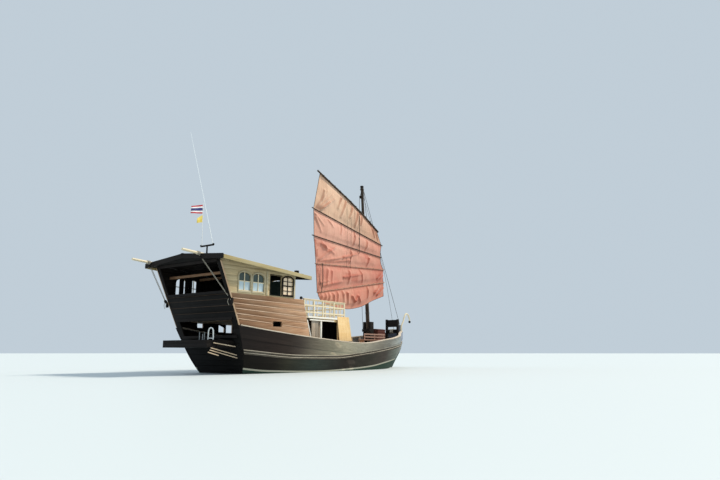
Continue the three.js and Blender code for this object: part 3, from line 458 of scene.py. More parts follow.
# %% Hull sections
SECTION_U = [0.00, 0.12, 0.30, 0.50, 0.68, 0.82, 0.92, 1.00]
SECTION = {
    "keel_z": [-0.35, -0.60, -0.90, -1.00, -0.98, -0.86, -0.68, -0.40],
    "bilge_z": [-0.23, -0.42, -0.65, -0.72, -0.70, -0.60, -0.45, -0.25],
    "bilge": [0.80, 1.20, 1.55, 1.65, 1.43, 0.86, 0.34, 0.11],
    "waterline": [1.22, 1.74, 2.04, 2.13, 1.95, 1.33, 0.60, 0.13],
    "topside": [1.65, 1.96, 2.22, 2.32, 2.17, 1.57, 0.74, 0.14],
    "sheer": [1.84, 2.04, 2.25, 2.35, 2.24, 1.61, 0.77, 0.165],
    "sheer_z": [1.85, 1.64, 1.40, 1.25, 1.49, 1.70, 1.89, 2.08],
}
STEM_Z = [-1.3, -0.7, -0.3, 0.0, 0.35, 0.62, 0.90, 1.25, 1.60, 2.10, 2.70]
STEM_X = [10.60, 11.85, 12.45, 12.83, 13.15, 13.43, 13.70, 13.93, 14.00, 14.03, 14.04]
WALE_U = [0.0, 0.2, 0.36, 0.55, 0.76, 1.0]
WALE_Z = [0.90, 0.69, 0.67, 0.87, 1.19, 1.48]
TRANSOM_RAKE, COUNTER_RAKE, TOPSIDE_Z, KEEL_HALF, BULWARK = 0.47, -0.3, 0.9, 0.09, 0.45


def fair(xs, ys, x):
    """A curve through the points with no overshoot."""
    last = len(xs) - 1
    i = 0
    while i < last - 1 and x > xs[i + 1]:
        i += 1
    slopes = [(ys[k + 1] - ys[k]) / (xs[k + 1] - xs[k]) for k in range(last)]

    def tangent(k):
        if k == 0 or k == last:
            return slopes[0] if k == 0 else slopes[-1]
        a, b = slopes[k - 1], slopes[k]
        return 0.0 if a * b <= 0 else 2 * a * b / (a + b)

    h = xs[i + 1] - xs[i]
    t = min(max((x - xs[i]) / h, 0.0), 1.0)
    a = t * t * (3 - 2 * t)
    return (ys[i] + (ys[i + 1] - ys[i]) * a
            + h * t * (1 - t) * ((1 - t) * tangent(i) - t * tangent(i + 1)))


def column(name, u):
    return fair(SECTION_U, SECTION[name], u)


def sheer_z(u):
    return column("sheer_z", u)


def deck_z(u):
    return sheer_z(u) - BULWARK


def aft_x(z):
    return -TRANSOM_RAKE * z if z > 0 else COUNTER_RAKE * z


def skin_x(u, z):
    return aft_x(z) + u * (fair(STEM_Z, STEM_X, z) - aft_x(z))


def skin_half(u, z):
    halves = [column(name, u) for name in ("bilge", "waterline", "topside", "sheer")]
    return fair([column("keel_z", u), column("bilge_z", u), 0.0, TOPSIDE_Z, sheer_z(u)],
                [KEEL_HALF, *halves], z)


def share_at(x, z):
    """The u whose skin lies at x and z."""
    return (x - aft_x(z)) / (fair(STEM_Z, STEM_X, z) - aft_x(z))


def skin(u, s):
    """A point of the starboard skin: s steps from keel to bilge, waterline, deck and sheer."""
    knots = [column("keel_z", u), column("bilge_z", u), 0.0, deck_z(u), sheer_z(u)]
    i = min(int(s), 3)
    z = knots[i] + (s - i) * (knots[i + 1] - knots[i])
    return at(skin_x(u, z), -skin_half(u, z), z)


def skin_in(u, s, depth):
    """The same point, moved inwards through the skin."""
    here = skin(u, s)
    v = min(max(u, 0.004), 0.996)
    t = min(max(s, 0.02), 3.98)
    run = skin(v + 0.004, t) - skin(v - 0.004, t)
    rise = skin(v, t + 0.02) - skin(v, t - 0.02)
    return here + rise.cross(run).normalized() * -depth


def mirrored(rings):
    return [[at(p.x, -p.y, p.z) for p in ring] for ring in rings]


RAIL_STEPS, RAIL_EASE = 60, 0.012
SIDES = (("starboard", -1), ("port", 1))


def along_hull(z_low, z_high, outset, inset, start=0.007):
    """Rings of a strake on the starboard side, from transom to stem, with worn corners."""
    rings = []
    for i in range(RAIL_STEPS + 1):
        u = start + (1 - start) * i / RAIL_STEPS

        def reach(z, out):
            here, near = [at(skin_x(v, z), skin_half(v, z), z) for v in (u, u - 0.004)]
            run = (here - near).normalized()
            return here + at(-run.y * out, run.x * out, 0)

        low, high, c = z_low(u), z_high(u), RAIL_EASE
        rings.append([reach(low, outset - c), reach(low + c, outset), reach(high - c, outset),
                      reach(high, outset - c), reach(high, -inset), reach(low, -inset)])
    return mirrored(rings)


print("greatest half breadth", max(SECTION["sheer"]), "m, deck amidships at", round(deck_z(0.5), 2), "m")

# %% [markdown]
# ## Planking
# The hull is carvel built: planks laid edge to edge with a caulked groove between. Each strake is made
# of lengths that butt at different places, as real ones do. Each length is one closed board on
# the hull's curve, hollowed by its grooves, so the seams are real and catch the light.

# %% Hull planking
GROOVE_DEEP, GROOVE_HALF = 0.014, 0.011
HULL_THICK, BULWARK_THICK = 0.045, 0.060
BOTTOM_STRAKES = [k / 5 for k in range(6)]
TURN_STRAKES = [1 + k / 3 for k in range(1, 4)]
TOPSIDE_STRAKES = [2 + k / 6 for k in range(1, 7)]
BULWARK_STRAKES = [3, 3 + 1 / 3, 3 + 2 / 3, 4]
BOOT_X = [-0.5, 1.0, 3.8, 5.9, 7.9, 9.3, 11.5, 12.6, 13.3, 13.9]
BOOT_Z = [0.25, 0.10, 0.03, 0.09, 0.20, 0.36, 0.54, 0.72, 1.00, 1.40]


def strake(pile, low, high, thick, number):
    """One strake on both sides, in three or four lengths."""
    first = (0.31 + 0.17 * number) % 0.34
    butts = [round(c, 2) for c in (first + 0.04, first + 0.38, first + 0.66) if c < 0.97]
    cuts = sorted({0.0, 1.0, *butts})
    for u0, u1 in zip(cuts, cuts[1:]):
        steps = max(2, round((u1 - u0) * 52))
        rings = []
        for i in range(steps + 1):
            u = u0 + (u1 - u0) * i / steps
            width = max((skin(u, high) - skin(u, low)).length, 0.02)
            edge = (high - low) * min(GROOVE_HALF / width, 0.2)
            middle = (low + high) / 2
            rings.append([skin_in(u, low, GROOVE_DEEP), skin_in(u, low + edge, 0), skin_in(u, middle, 0),
                          skin_in(u, high - edge, 0), skin_in(u, high, GROOVE_DEEP),
                          skin_in(u, high, thick), skin_in(u, low, thick)])
        tone = rng.random()
        for side in (rings, mirrored(rings)):
            pile.loft(side, tone=min(max(tone + rng.normal() * 0.08, 0), 1))


def over_boot(x, z):
    """Height over the boot stripe, for the paint."""
    return z - fair(BOOT_X, BOOT_Z, min(max(x, BOOT_X[0]), BOOT_X[-1]))


def mark_boot(pile):
    pile.extra = [over_boot(p.x, p.z) for p in pile.points]


# %% Hull paint
# Greys along the ship, as shares of its length, above the wales and below them. They are painted
# light and shade: dark aft, where the stern lies in shade, and pale to blue-grey forward, where the
# bow faces the light.
UPPER_SIDE_TONE_AND_SHADE = [(0, "#2a2423"), (0.11, "#342b28"), (0.154, "#3b332f"), (0.198, "#514a45"),
              (0.26, "#7f7a6e"), (0.334, "#a09d8b"), (0.414, "#cbc7b2"), (0.5, "#bbbaac"),
              (0.63, "#94928a"), (0.806, "#9ea9ab"), (0.924, "#97a3b9")]
LOWER_SIDE_TONE_AND_SHADE = [(0, "#17140f"), (0.11, "#2b2722"), (0.154, "#3b3b31"), (0.26, "#3e4944"),
              (0.414, "#322d2a"), (0.55, "#3f3f38"), (0.66, "#58524e"), (0.78, "#7d8882"), (0.9, "#a6acaf")]
PAINT_AFT, PAINT_FORE = -6.92, 7.20
STRIPE_TOP, STRIPE_FOOT = 0.03, -0.035
STRIPE_PAINT, BOTTOM_PAINT = "#a9a797", "#2c4036"


def hull_paint():
    """Tarred planking, paler above the wales, painted shade aft and light forward, over a pale stripe and
    green paint.
    """
    made = timber("tarred_hull_planking", "#9a9794", "#c6c3bf", "#efece8", "#f6f0e6", 0.2, 0.34, 0.85)
    tree = made.node_tree
    shader = tree.nodes["Principled BSDF"]
    wood = shader.inputs["Base Color"].links[0].from_socket
    where = node(tree, "ShaderNodeSeparateXYZ",
                 {"Vector": node(tree, "ShaderNodeTexCoord").outputs["Object"]})
    share = node(tree, "ShaderNodeMapRange",
                 {"Value": where.outputs["X"], "From Min": PAINT_AFT, "From Max": PAINT_FORE}).outputs[0]
    wale = node(tree, "ShaderNodeFloatCurve", {"Value": share})
    line = wale.mapping.curves[0].points
    # The curve's heights run from 0 to 1, so the wale's are halved.
    line[0].location, line[-1].location = (0, WALE_Z[0] / 2), (1, WALE_Z[-1] / 2)
    for u, z in zip(WALE_U[1:-1], WALE_Z[1:-1]):
        line.new(u, z / 2)
    wale.mapping.update()
    half = node(tree, "ShaderNodeMath", {0: where.outputs["Z"], 1: 0.5}, operation="MULTIPLY")
    above = node(tree, "ShaderNodeMath", {0: half.outputs[0], 1: wale.outputs[0]}, operation="GREATER_THAN")
    # Painted light and shade along the ship, from the grey ramps above and below the wales.
    dark, light = [node(tree, "ShaderNodeValToRGB", {"Fac": share}, rows)
                   for rows in (LOWER_SIDE_TONE_AND_SHADE, UPPER_SIDE_TONE_AND_SHADE)]
    side = node(tree, "ShaderNodeMix",
                {"Factor": above.outputs[0], "A": dark.outputs[0], "B": light.outputs[0]}, data_type="RGBA")
    grey = node(tree, "ShaderNodeMix", {"Factor": 1.0, "A": side.outputs[2], "B": wood}, **TINT)
    over = node(tree, "ShaderNodeAttribute", attribute_name="extra").outputs["Fac"]
    stripe = node(tree, "ShaderNodeMath", {0: over, 1: STRIPE_TOP}, operation="LESS_THAN")
    below = node(tree, "ShaderNodeMath", {0: over, 1: STRIPE_FOOT}, operation="LESS_THAN")
    striped = node(tree, "ShaderNodeMix", {"Factor": stripe.outputs[0], "A": grey.outputs[2],
                                           "B": linear(STRIPE_PAINT)}, data_type="RGBA")
    bottom = node(tree, "ShaderNodeMix", {"Factor": below.outputs[0], "A": striped.outputs[2],
                                          "B": linear(BOTTOM_PAINT)}, data_type="RGBA")
    tree.links.new(bottom.outputs[2], shader.inputs["Base Color"])
    return made


HULL_PAINT = hull_paint()
print("hull paint nodes", len(HULL_PAINT.node_tree.nodes))

# %% Laying the planks
KEEL_RISE = at(0, 0, 0.08)
hull = Pile()
edges = [*BOTTOM_STRAKES, *TURN_STRAKES, *TOPSIDE_STRAKES]
for k, (low, high) in enumerate(zip(edges, edges[1:])):
    strake(hull, low, high, HULL_THICK, k)
keel_rings = []
for u in np.linspace(0, 1, 30):
    starboard = skin(u, 0)
    port = at(starboard.x, -starboard.y, starboard.z)
    keel_rings.append([starboard, port, port + KEEL_RISE, starboard + KEEL_RISE])
hull.loft(keel_rings)
mark_boot(hull)
hull.piece("hull_planking", HULL_PAINT, "hull_planking", replaces="hull")
PITCHED = timber("tarred_transom_planking", "#050504", "#0a0908", "#14110f", "#25211d", 0.10, 0.6, 0.75)
counter = Pile()
TRANSOM_ROWS = np.linspace(-0.35, 1.40, 9)
for low, high in zip(TRANSOM_ROWS, TRANSOM_ROWS[1:]):
    rows = []
    for z, inside in ((low + 0.004, 0), (high - 0.004, 0), (high - 0.004, HULL_THICK),
                      (low + 0.004, HULL_THICK)):
        rows.append((aft_x(z) + 0.004 + inside, skin_half(0, z) - 0.012, z))
    counter.loft([[at(x, side * half, z) for x, half, z in rows] for side in (-1, 1)])
counter.piece("transom_foot_planks", PITCHED, "hull_planking")

bulwark = Pile()
for k, (low, high) in enumerate(zip(BULWARK_STRAKES, BULWARK_STRAKES[1:])):
    strake(bulwark, low, high, BULWARK_THICK, k + 5)
mark_boot(bulwark)
bulwark.piece("bulwark_planking", HULL_PAINT, "hull_planking", replaces="bulwark")

# %% [markdown]
# ## Dressing a solid
# Walls, posts and rails already have their true shape in the frame, openings and all, so they are not
# drawn again. A copy of the solid has its loose triangles joined, its edges eased as a plane would
# ease them, and a V cut at each seam where two boards meet. Cutting with planes works on any wall,
# however many windows it has, so it was chosen over laying boards one by one.


# %% Dressing
SLOT_OF = {part["node"]: part["material_slot"] for part in frame["record"]["subparts"]}


def cut_seam(work, where, normal, depth, half):
    """A V groove along the plane through where."""
    where, normal = Vector(where) - SHIFT, Vector(normal).normalized()
    for shift in (-half, 0.0, half):
        bmesh.ops.bisect_plane(work, geom=[*work.verts, *work.edges, *work.faces],
                               plane_co=where + normal * shift, plane_no=normal)
    work.normal_update()
    bottom = [v for v in work.verts if abs((v.co - where).dot(normal)) < 1e-5]
    for v, push in [(v, v.normal - normal * v.normal.dot(normal)) for v in bottom]:
        if push.length > 1e-3:
            v.co -= push.normalized() * depth


def joined_copy(source):
    """A bmesh of a solid of the frame, its triangles joined into the faces they came from."""
    work = bmesh.new()
    work.from_mesh(frame["nodes"][source].data)
    bmesh.ops.remove_doubles(work, verts=work.verts, dist=2e-5)
    bmesh.ops.dissolve_limit(work, angle_limit=math.radians(1.5), verts=work.verts, edges=work.edges)
    return work


def lay_grain(mesh, along, tones):
    """UVs in metres with their first axis along the grain, and a tone for each face."""
    grain = mesh.uv_layers.new(name="Grain")
    values = np.zeros((len(mesh.loops), 2), np.float32)
    for face in mesh.polygons:
        flat = max(range(3), key=lambda i: abs(face.normal[i]))
        u_axis = along if along != flat else (2 if flat != 2 else 0)
        v_axis = ({0, 1, 2} - {flat, u_axis}).pop()
        for k in face.loop_indices:
            co = mesh.vertices[mesh.loops[k].vertex_index].co
            values[k] = (co[u_axis], co[v_axis])
    grain.data.foreach_set("uv", values.ravel())
    keep_number(mesh, "tone", tones, "FACE")


def dress(source, name, material, along=0, seams=(), ease=0.006, depth=0.006, half=0.005):
    """A solid as a finished piece on its own body, cut by seams, each a point and a normal."""
    work = joined_copy(source)
    sharp = [e for e in work.edges if len(e.link_faces) == 2
             and e.calc_face_angle() > math.radians(25) and e.calc_length() > 3 * ease]
    if ease:
        bmesh.ops.bevel(work, geom=sharp, offset=ease, segments=2, profile=0.6, affect="EDGES",
                        clamp_overlap=True)
    for where, normal in seams:
        cut_seam(work, where, normal, depth, half)
    mesh = bpy.data.meshes.new(name)
    work.to_mesh(mesh)
    work.free()
    draws = rng.random(len(seams) + 1)
    tones = []
    for face in mesh.polygons:
        centre = face.center + SHIFT
        row = sum((centre - Vector(where)).dot(Vector(normal)) > 0 for where, normal in seams)
        tones.append(draws[row])
    lay_grain(mesh, along, tones)
    return settle(mesh, name, material, frame["nodes"][source]["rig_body"], source, SLOT_OF[source])


def refinish(piece, made, chosen):
    """A second finish on those faces of a piece for which chosen is true."""
    piece.data.materials.append(made)
    last = len(piece.data.materials) - 1
    for face in piece.data.polygons:
        if chosen(face):
            face.material_index = last


def seams_at(axis, places):
    """Seams square to an axis, 0 to 2 for x to z, at these places along it."""
    way = Vector([float(i == axis) for i in range(3)])
    return [(way * place, way) for place in places]


def fan(aft_z, fore_z, x_aft, x_fore, count):
    """Seams that fan out between two pairs of heights, seen from the side."""
    made = []
    for k in range(1, count):
        za = aft_z[0] + (aft_z[1] - aft_z[0]) * k / count
        zf = fore_z[0] + (fore_z[1] - fore_z[0]) * k / count
        made.append(((x_aft, 0, za), at(-(zf - za), 0, x_fore - x_aft).normalized()))
    return made


print("solids with a slot", len(SLOT_OF))

# %% [markdown]
# ## Rails and wales
# The cap rail is a worn bare plank along the bulwark's top. Two wales, thick dark strakes with a pale
# strip of painted highlight along each top edge, run side by side below it from the transom to the
# stem. All three follow the hull's curve, so they are sections pulled along it.

# %% Cap rail and wales
WALE_HALF, WALE_OUT, WALE_DROP = 0.038, 0.060, 0.102
CAP_HIGH, CAP_OUT, CAP_IN = 0.050, 0.045, 0.095


def wale_z(u):
    return fair(WALE_U, WALE_Z, u)


def hull_rail(name, material, z_low, z_high, outset, inset, replaces, slot, start=0.007):
    pile = Pile()
    rings = along_hull(z_low, z_high, outset, inset, start)
    for side in (rings, mirrored(rings)):
        pile.loft(side, tone=0.5)
    return pile.piece(name, material, slot, replaces=replaces)


WORN = timber("rubbed_hardwood", "#2c2722", "#413a33", "#5a5147", "#8b8578", 0.3, 0.2)
# Pale finish for the wales' top edges: a painted highlight.
WALE_HIGHLIGHT = timber("painted_highlight_edge", "#8a8272", "#b0a896", "#cdc5b2", "#d2ccbc", 0.35, 0.2)
CAP_WOOD = timber("worn_cap_timber", "#a39684", "#c2b6a4", "#ddd2c2", "#d8d2c6", 0.3, 0.2)
hull_rail("cap_rail_planed", CAP_WOOD, sheer_z, lambda u: sheer_z(u) + CAP_HIGH, CAP_OUT, CAP_IN,
          "cap_rail", "cap_timber")
for name, drop in (("upper_wale", 0.0), ("lower_wale", WALE_DROP)):
    hull_rail(name + "_rubbed", WORN, lambda u, d=drop: wale_z(u) - d - WALE_HALF,
              lambda u, d=drop: wale_z(u) - d + WALE_HALF, WALE_OUT, 0.0, name, "dark_timber", 0.001)
# Pale strips along the wales' top edges, painted highlight.
wale_highlight = Pile()
for drop in (0.0, WALE_DROP):
    rings = along_hull(lambda u, d=drop: wale_z(u) - d + WALE_HALF - 0.022,
                       lambda u, d=drop: wale_z(u) - d + WALE_HALF + 0.004, WALE_OUT + 0.004, -0.030, 0.001)
    for side in (rings, mirrored(rings)):
        wale_highlight.loft(side, tone=0.6)
wale_highlight.piece("wale_painted_highlights", WALE_HIGHLIGHT, "dark_timber")

# %% [markdown]
# ## Deck and bulwark frames
# The deck is laid in narrow planks from end to end, with dark caulking between, and stops at a
# margin along the bulwark. A texture could draw the seams, but their edges catch the low light, so
# each plank is a board that stops where the hull narrows.

# %% Deck planks
DECK_PLANK, DECK_SEAM, DECK_THICK = 0.135, 0.006, 0.030


def deck_u(x):
    """The u at which the deck edge lies at x."""
    u = share_at(x, 1.0)
    for _ in range(4):
        u = share_at(x, deck_z(min(max(u, 0), 1)))
    return min(max(u, 0.0), 1.0)


deck = Pile()
deck_stations = [-0.55 + 0.45 * k for k in range(33)]
profile = [(x, deck_z(deck_u(x)), skin_half(deck_u(x), deck_z(deck_u(x))) - 0.03) for x in deck_stations]
for k in range(-17, 18):
    y = k * DECK_PLANK
    run = [(x, z) for x, z, half in profile if half > abs(y) + DECK_PLANK / 2]
    if len(run) > 2:
        w = DECK_PLANK / 2 - DECK_SEAM / 2
        corners = ((-w, 0.002), (w, 0.002), (w, -DECK_THICK), (-w, -DECK_THICK))
        deck.loft([[at(x, y + out, z + rise) for out, rise in corners] for x, z in run])
margin = Pile()
for side in (-1, 1):
    rings = []
    for x, z, half in profile:
        outer, inner = side * (half + 0.03), side * max(half - 0.16, 0.02)
        rings.append([at(x, outer, z + 0.006), at(x, inner, z + 0.006), at(x, inner, z - 0.04),
                      at(x, outer, z - 0.04)])
    margin.loft(rings, tone=0.3)
deck.piece("deck_planks", SCRUBBED, "deck_planking")
margin.piece("deck_margin", SCRUBBED, "deck_planking")

# %% [markdown]
# ## Frames inside the bulwark
# A sawn frame stands every half metre. A loop could place them, but only their spacing needs saying,
# so Geometry Nodes does it: points are set along a curve that follows the rail, and a block on each,
# turned a little at random. The blocks are made real, because the export drops instances.

# %% Repeats along a path
FRAME_SEED = 3


def repeat_along(name, path, spacing, size, material, slot, jitter):
    """Boxes set along a path by Geometry Nodes, then made a plain mesh. Size is x, y and z."""
    tree = bpy.data.node_groups.new(name, "GeometryNodeTree")
    face = tree.interface
    face.new_socket(name="Path", in_out="INPUT", socket_type="NodeSocketGeometry")
    sockets = {title: face.new_socket(name=title, in_out="INPUT", socket_type=kind).identifier
               for title, kind in (("Spacing", "NodeSocketFloat"), ("Size", "NodeSocketVector"),
                                   ("Jitter", "NodeSocketFloat"), ("Seed", "NodeSocketInt"))}
    face.new_socket(name="Pieces", in_out="OUTPUT", socket_type="NodeSocketGeometry")
    come = node(tree, "NodeGroupInput").outputs
    points = node(tree, "GeometryNodeCurveToPoints", {"Curve": come["Path"], "Length": come["Spacing"]},
                  mode="LENGTH")
    block = node(tree, "GeometryNodeMeshCube", {"Size": come["Size"]})
    shake = node(tree, "FunctionNodeRandomValue", {"Seed": come["Seed"]}, data_type="FLOAT")
    lean = node(tree, "ShaderNodeMath", {0: shake.outputs[1], 1: 0.5}, operation="SUBTRACT")
    lean = node(tree, "ShaderNodeMath", {0: lean.outputs[0], 1: come["Jitter"]}, operation="MULTIPLY")
    extra = node(tree, "ShaderNodeCombineXYZ", {"Z": lean.outputs[0]})
    stand = node(tree, "GeometryNodeInstanceOnPoints",
                 {"Points": points.outputs["Points"], "Instance": block.outputs["Mesh"]})
    turned = node(tree, "GeometryNodeRotateInstances",
                  {"Instances": stand.outputs[0], "Rotation": extra.outputs[0]})
    real = node(tree, "GeometryNodeRealizeInstances", {"Geometry": turned.outputs[0]})
    dyed = node(tree, "GeometryNodeSetMaterial", {"Geometry": real.outputs[0], "Material": material})
    node(tree, "NodeGroupOutput", {"Pieces": dyed.outputs[0]})
    curve = bpy.data.curves.new(name + "_path", "CURVE")
    curve.dimensions = "3D"
    line = curve.splines.new("POLY")
    line.points.add(len(path) - 1)
    for spot, p in zip(line.points, path):
        spot.co = (*(Vector(p) - SHIFT), 1.0)
    holder = bpy.data.objects.new(name + "_holder", curve)
    put(holder)
    step = holder.modifiers.new("repeat", "NODES")
    step.node_group = tree
    for title, value in (("Spacing", spacing), ("Size", size), ("Jitter", jitter), ("Seed", FRAME_SEED)):
        step[sockets[title]] = value
    graph = bpy.context.evaluated_depsgraph_get()
    mesh = bpy.data.meshes.new_from_object(holder.evaluated_get(graph))
    mesh.name = name
    bpy.data.objects.remove(holder)
    tones = np.repeat(np.random.default_rng(FRAME_SEED).random(len(mesh.polygons) // 6 + 1), 6)
    for old in list(mesh.uv_layers):
        mesh.uv_layers.remove(old)
    lay_grain(mesh, 2 if size[2] > max(size[0], size[1]) else 0, tones[:len(mesh.polygons)])
    return settle(mesh, name, material, slot=slot)


# %% Bulwark frames
FRAME_Z, FRAME_SIZE = 0.235, (0.085, 0.075, 0.40)
for name, side in SIDES:
    path = []
    for u in np.linspace(0.235, 0.905, 40):
        z = sheer_z(u) - FRAME_Z
        path.append(at(skin_x(u, z), side * (skin_half(u, z) - BULWARK_THICK - 0.042), z))
    repeat_along("bulwark_frames_" + name, path, 0.52, FRAME_SIZE, BLEACHED, "cap_timber", 0.06)

# %% [markdown]
# ## The stern
# The transom is tarred planking, nearly black in its own shade, with two wide openings: the gallery
# above, for the view aft, and the veranda below, which opens on the boarding platform.
# Behind its corners run the reddish quarter sides, six broad strakes that fan out forward. Frames,
# laths and battens are boards of their own, nailed on as a shipwright does, so each keeps its grain.

# %% Transom, quarter sides and quarterdeck
dress("transom_wall", "transom_planking", PITCHED, along=1,
      seams=seams_at(2, (1.72, 2.32, 2.36, 2.69, 3.02, 4.26)))
QUARTER_TOP = 3.06
shade_along(REDDISH, [(-0.4, "#b4aca4"), (0.5, "#c6beb6"), (1.3, "#e6e2de"), (2.6, "#ffffff")])
for side, sign in SIDES:
    seams = fan((1.88, QUARTER_TOP), (1.58, QUARTER_TOP), -0.95, 2.94, 6)
    boards = dress("quarter_side_" + side, "quarter_strakes_" + side, REDDISH, seams=seams, depth=0.012,
                   half=0.009)
    # Inner faces are painted shade.
    refinish(boards, DARK_WOOD_AND_SHADE, lambda face, out=sign: face.normal.y * out < -0.5)
dress("quarterdeck", "quarterdeck_planks", SCRUBBED,
      seams=seams_at(1, [0.15 * k for k in range(-14, 15)]), ease=0)
dress("quarter_bulkhead", "quarter_bulkhead_boards", STAINED, along=2,
      seams=seams_at(1, [0.22 * k for k in range(-9, 10)]))

LOW_WINDOWS = {"starboard": [(0.84, 1.84, 1.30, 2.09)],
               "port": [(0.26, 1.87, 0.60, 2.09), (1.57, 1.72, 1.93, 2.09), (2.05, 1.70, 2.45, 2.09)]}
SEAM_BATTEN = timber("pale_seam_batten", "#b0917a", "#cfae92", "#dfc5ac", "#dccbb8", 0.3, 0.1)


def quarter_half(x, z):
    """Half breadth of the quarter side's outer face."""
    head = 1.88 + 0.30 * min(max((x + 1.44) / 3.94, 0), 1)
    u = share_at(x, 1.6)
    foot_z = sheer_z(u) + 0.053
    share = (z - foot_z) / (QUARTER_TOP - foot_z)
    return skin_half(u, sheer_z(u)) - 0.005 + (head - skin_half(u, sheer_z(u)) + 0.005) * share


# %% Corner trims, gallery frames and seam laths
CORNER_TRIM, BEAM_Z = timber("corner_trim", "#8f7358", "#b09172", "#cfb293", "#c9b8a2", 0.3, 0.1), 3.86
TRANSOM_EDGE = [(1.86, 1.85), (2.6, 1.875), (3.4, 1.90), (4.22, 1.915)]
trim = Pile()
for side in (-1, 1):
    corners = ((0.004, 0.020), (0.055, 0.026), (0.055, -0.01), (0.004, -0.01))
    trim.loft([[at(aft_x(z) + run, side * (half + out), z) for run, out in corners]
               for z, half in TRANSOM_EDGE], tone=0.6)
trim.piece("corner_trims", CORNER_TRIM, "reddish_planking")

stern = Pile()
for z, half in ((3.09, 1.78), (4.23, 1.78), (2.12, 1.66), (1.44, 1.62)):
    stern.board(at(aft_x(z) - 0.03, -half, z), at(aft_x(z) - 0.03, half, z), 0.05, 0.11)
for y in (-1.75, 1.75):
    stern.board(at(aft_x(3.1) + 0.03, y, 3.1), at(aft_x(4.22) + 0.03, y, 4.22), 0.06, 0.07, (0, 1, 0))
for y in (-1.56, 1.56):
    stern.board(at(aft_x(1.45) + 0.03, y, 1.45), at(aft_x(2.1) + 0.03, y, 2.1), 0.07, 0.06, (0, 1, 0))
stern.piece("gallery_frames", STAINED, "dark_timber")
laths = Pile()
for z in (2.36, 2.60, 2.84, 3.02):
    laths.board(at(aft_x(z) - 0.008, -1.82, z), at(aft_x(z) - 0.008, 1.82, z), 0.012, 0.018)
SEAM_LATH = timber("dim_seam_lath", "#2b211a", "#3e3026", "#544334", "#5d5145", 0.2, 0.2)
laths.piece("transom_seam_laths", SEAM_LATH, "dark_timber")

# %% Seam battens on the quarters
for side, sign in SIDES:
    ribs = Pile()
    for k in range(1, 6):
        za = 1.92 + (QUARTER_TOP - 1.92) * k / 6
        zf = 1.58 + (QUARTER_TOP - 1.58) * k / 6
        runs = [[]]
        for share in np.linspace(0.0, 1.0, 49):
            z = za + (zf - za) * share
            x = aft_x(z) + 0.09 + share * (2.52 + 0.44 * (QUARTER_TOP - z) / 1.2 - aft_x(z) - 0.12)
            if any(x0 < x < x1 and z0 < z < z1 for x0, z0, x1, z1 in LOW_WINDOWS[side]):
                runs.append([])
            else:
                runs[-1].append(at(x, sign * (quarter_half(x, z) + 0.003), z))
        for run in runs:
            if len(run) > 1:
                ribs.sweep(run, plank_section(0.012, 0.024, 0.003), tone=0.6)
    ribs.piece("quarter_seam_battens_" + side, SEAM_BATTEN, "reddish_planking")
inner = Pile()
inner.board(at(-1.35, -1.82, BEAM_Z), at(-1.35, 1.82, BEAM_Z), 0.09, 0.10)
inner.board(at(0.30, -1.95, BEAM_Z + 0.1), at(0.30, 1.95, BEAM_Z + 0.1), 0.09, 0.10)
inner.piece("house_beams", REDDISH, "reddish_planking")

# %% [markdown]
# ## The stern house
# Its sides are tan varnished boards, pierced by arched windows with light frames. Each window is a
# frame that follows the opening's arch, thin bars across it and panes behind. The wall is not square
# to the ship, so one function turns places on it (how far forward, how high, how far out) into the
# ship's, and every part of a window goes through it. Near-black boards behind the port side's windows
# are painted shade.

# %% Walls
for side, sign in SIDES:
    boards = dress("house_side_" + side, "house_boards_" + side, TAN,
                   seams=seams_at(2, (3.3, 3.52, 3.74, 3.96, 4.12)))
    # Inner faces are painted shade.
    refinish(boards, DARK_WOOD_AND_SHADE, lambda face, out=sign: face.normal.y * out < -0.5)
boards = dress("house_front", "house_front_boards", TAN, along=2, ease=0.005,
               seams=seams_at(1, [0.21 * k + 0.1 for k in range(-10, 10)]))
# Inner faces are painted shade.
refinish(boards, DARK_WOOD_AND_SHADE, lambda face: face.normal.x < -0.5)
HOUSE_AFT_X, HOUSE_AFT_HALF = -1.44, 1.88
WALL_TURN = math.atan2(0.30, 3.94)


def on_wall(side, along, high, out):
    """A point on the stern house's side: out is measured from the wall's outer face."""
    reach = along - HOUSE_AFT_X
    return at(reach * math.cos(WALL_TURN) - out * math.sin(WALL_TURN) + HOUSE_AFT_X,
              side * (reach * math.sin(WALL_TURN) + HOUSE_AFT_HALF + out * math.cos(WALL_TURN)), high)


# %% Arches, frames and panes
ARCH_STEPS = 10


def arch_path(x0, z0, x1, z1, rise):
    """Outline of an arched opening, from its sill up and over, as along and high."""
    middle, half = (x0 + x1) / 2, (x1 - x0) / 2
    bends = [math.pi * k / ARCH_STEPS for k in range(ARCH_STEPS + 1)]
    arch = [(middle - half * math.cos(bend), z1 - rise + rise * math.sin(bend)) for bend in bends]
    return [(x0, z0), *arch, (x1, z0)]


def frame_round(pile, place, path, wide, thick, out):
    """A flat frame round the path, where place turns along, high, out into the ship."""
    middle = (sum(x for x, _ in path) / len(path), sum(z for _, z in path) / len(path))
    rings = []
    for x, z in [*path, path[0]]:
        dx, dz = x - middle[0], z - middle[1]
        k = wide / max(math.hypot(dx, dz), 1e-6)
        far = (x + dx * k * 1.15, z + dz * k)
        rings.append([place(x, z, out), place(*far, out), place(*far, out + thick), place(x, z, out + thick)])
    pile.loft(rings, tone=0.6, caps=False)


# The lower panes are matt pale blue-grey: a painted reflection of the sky. Glass over a dark room looks dark
# and sharp.
SKY_REFLECTION = plain("painted_sky_reflection", "#b9ccd4", 0.6)
SHADE_GLASS = plain("shaded_glass", "#3a4842", 0.15)


def pane(pile, place, x0, z0, x1, z1, out):
    corners = ((x0, z0), (x1, z0), (x1, z1), (x0, z1))
    pile.loft([[place(x, z, layer) for x, z in corners] for layer in (out, out - 0.006)], tone=0.5)


print("wall turned", round(math.degrees(WALL_TURN), 1), "degrees")

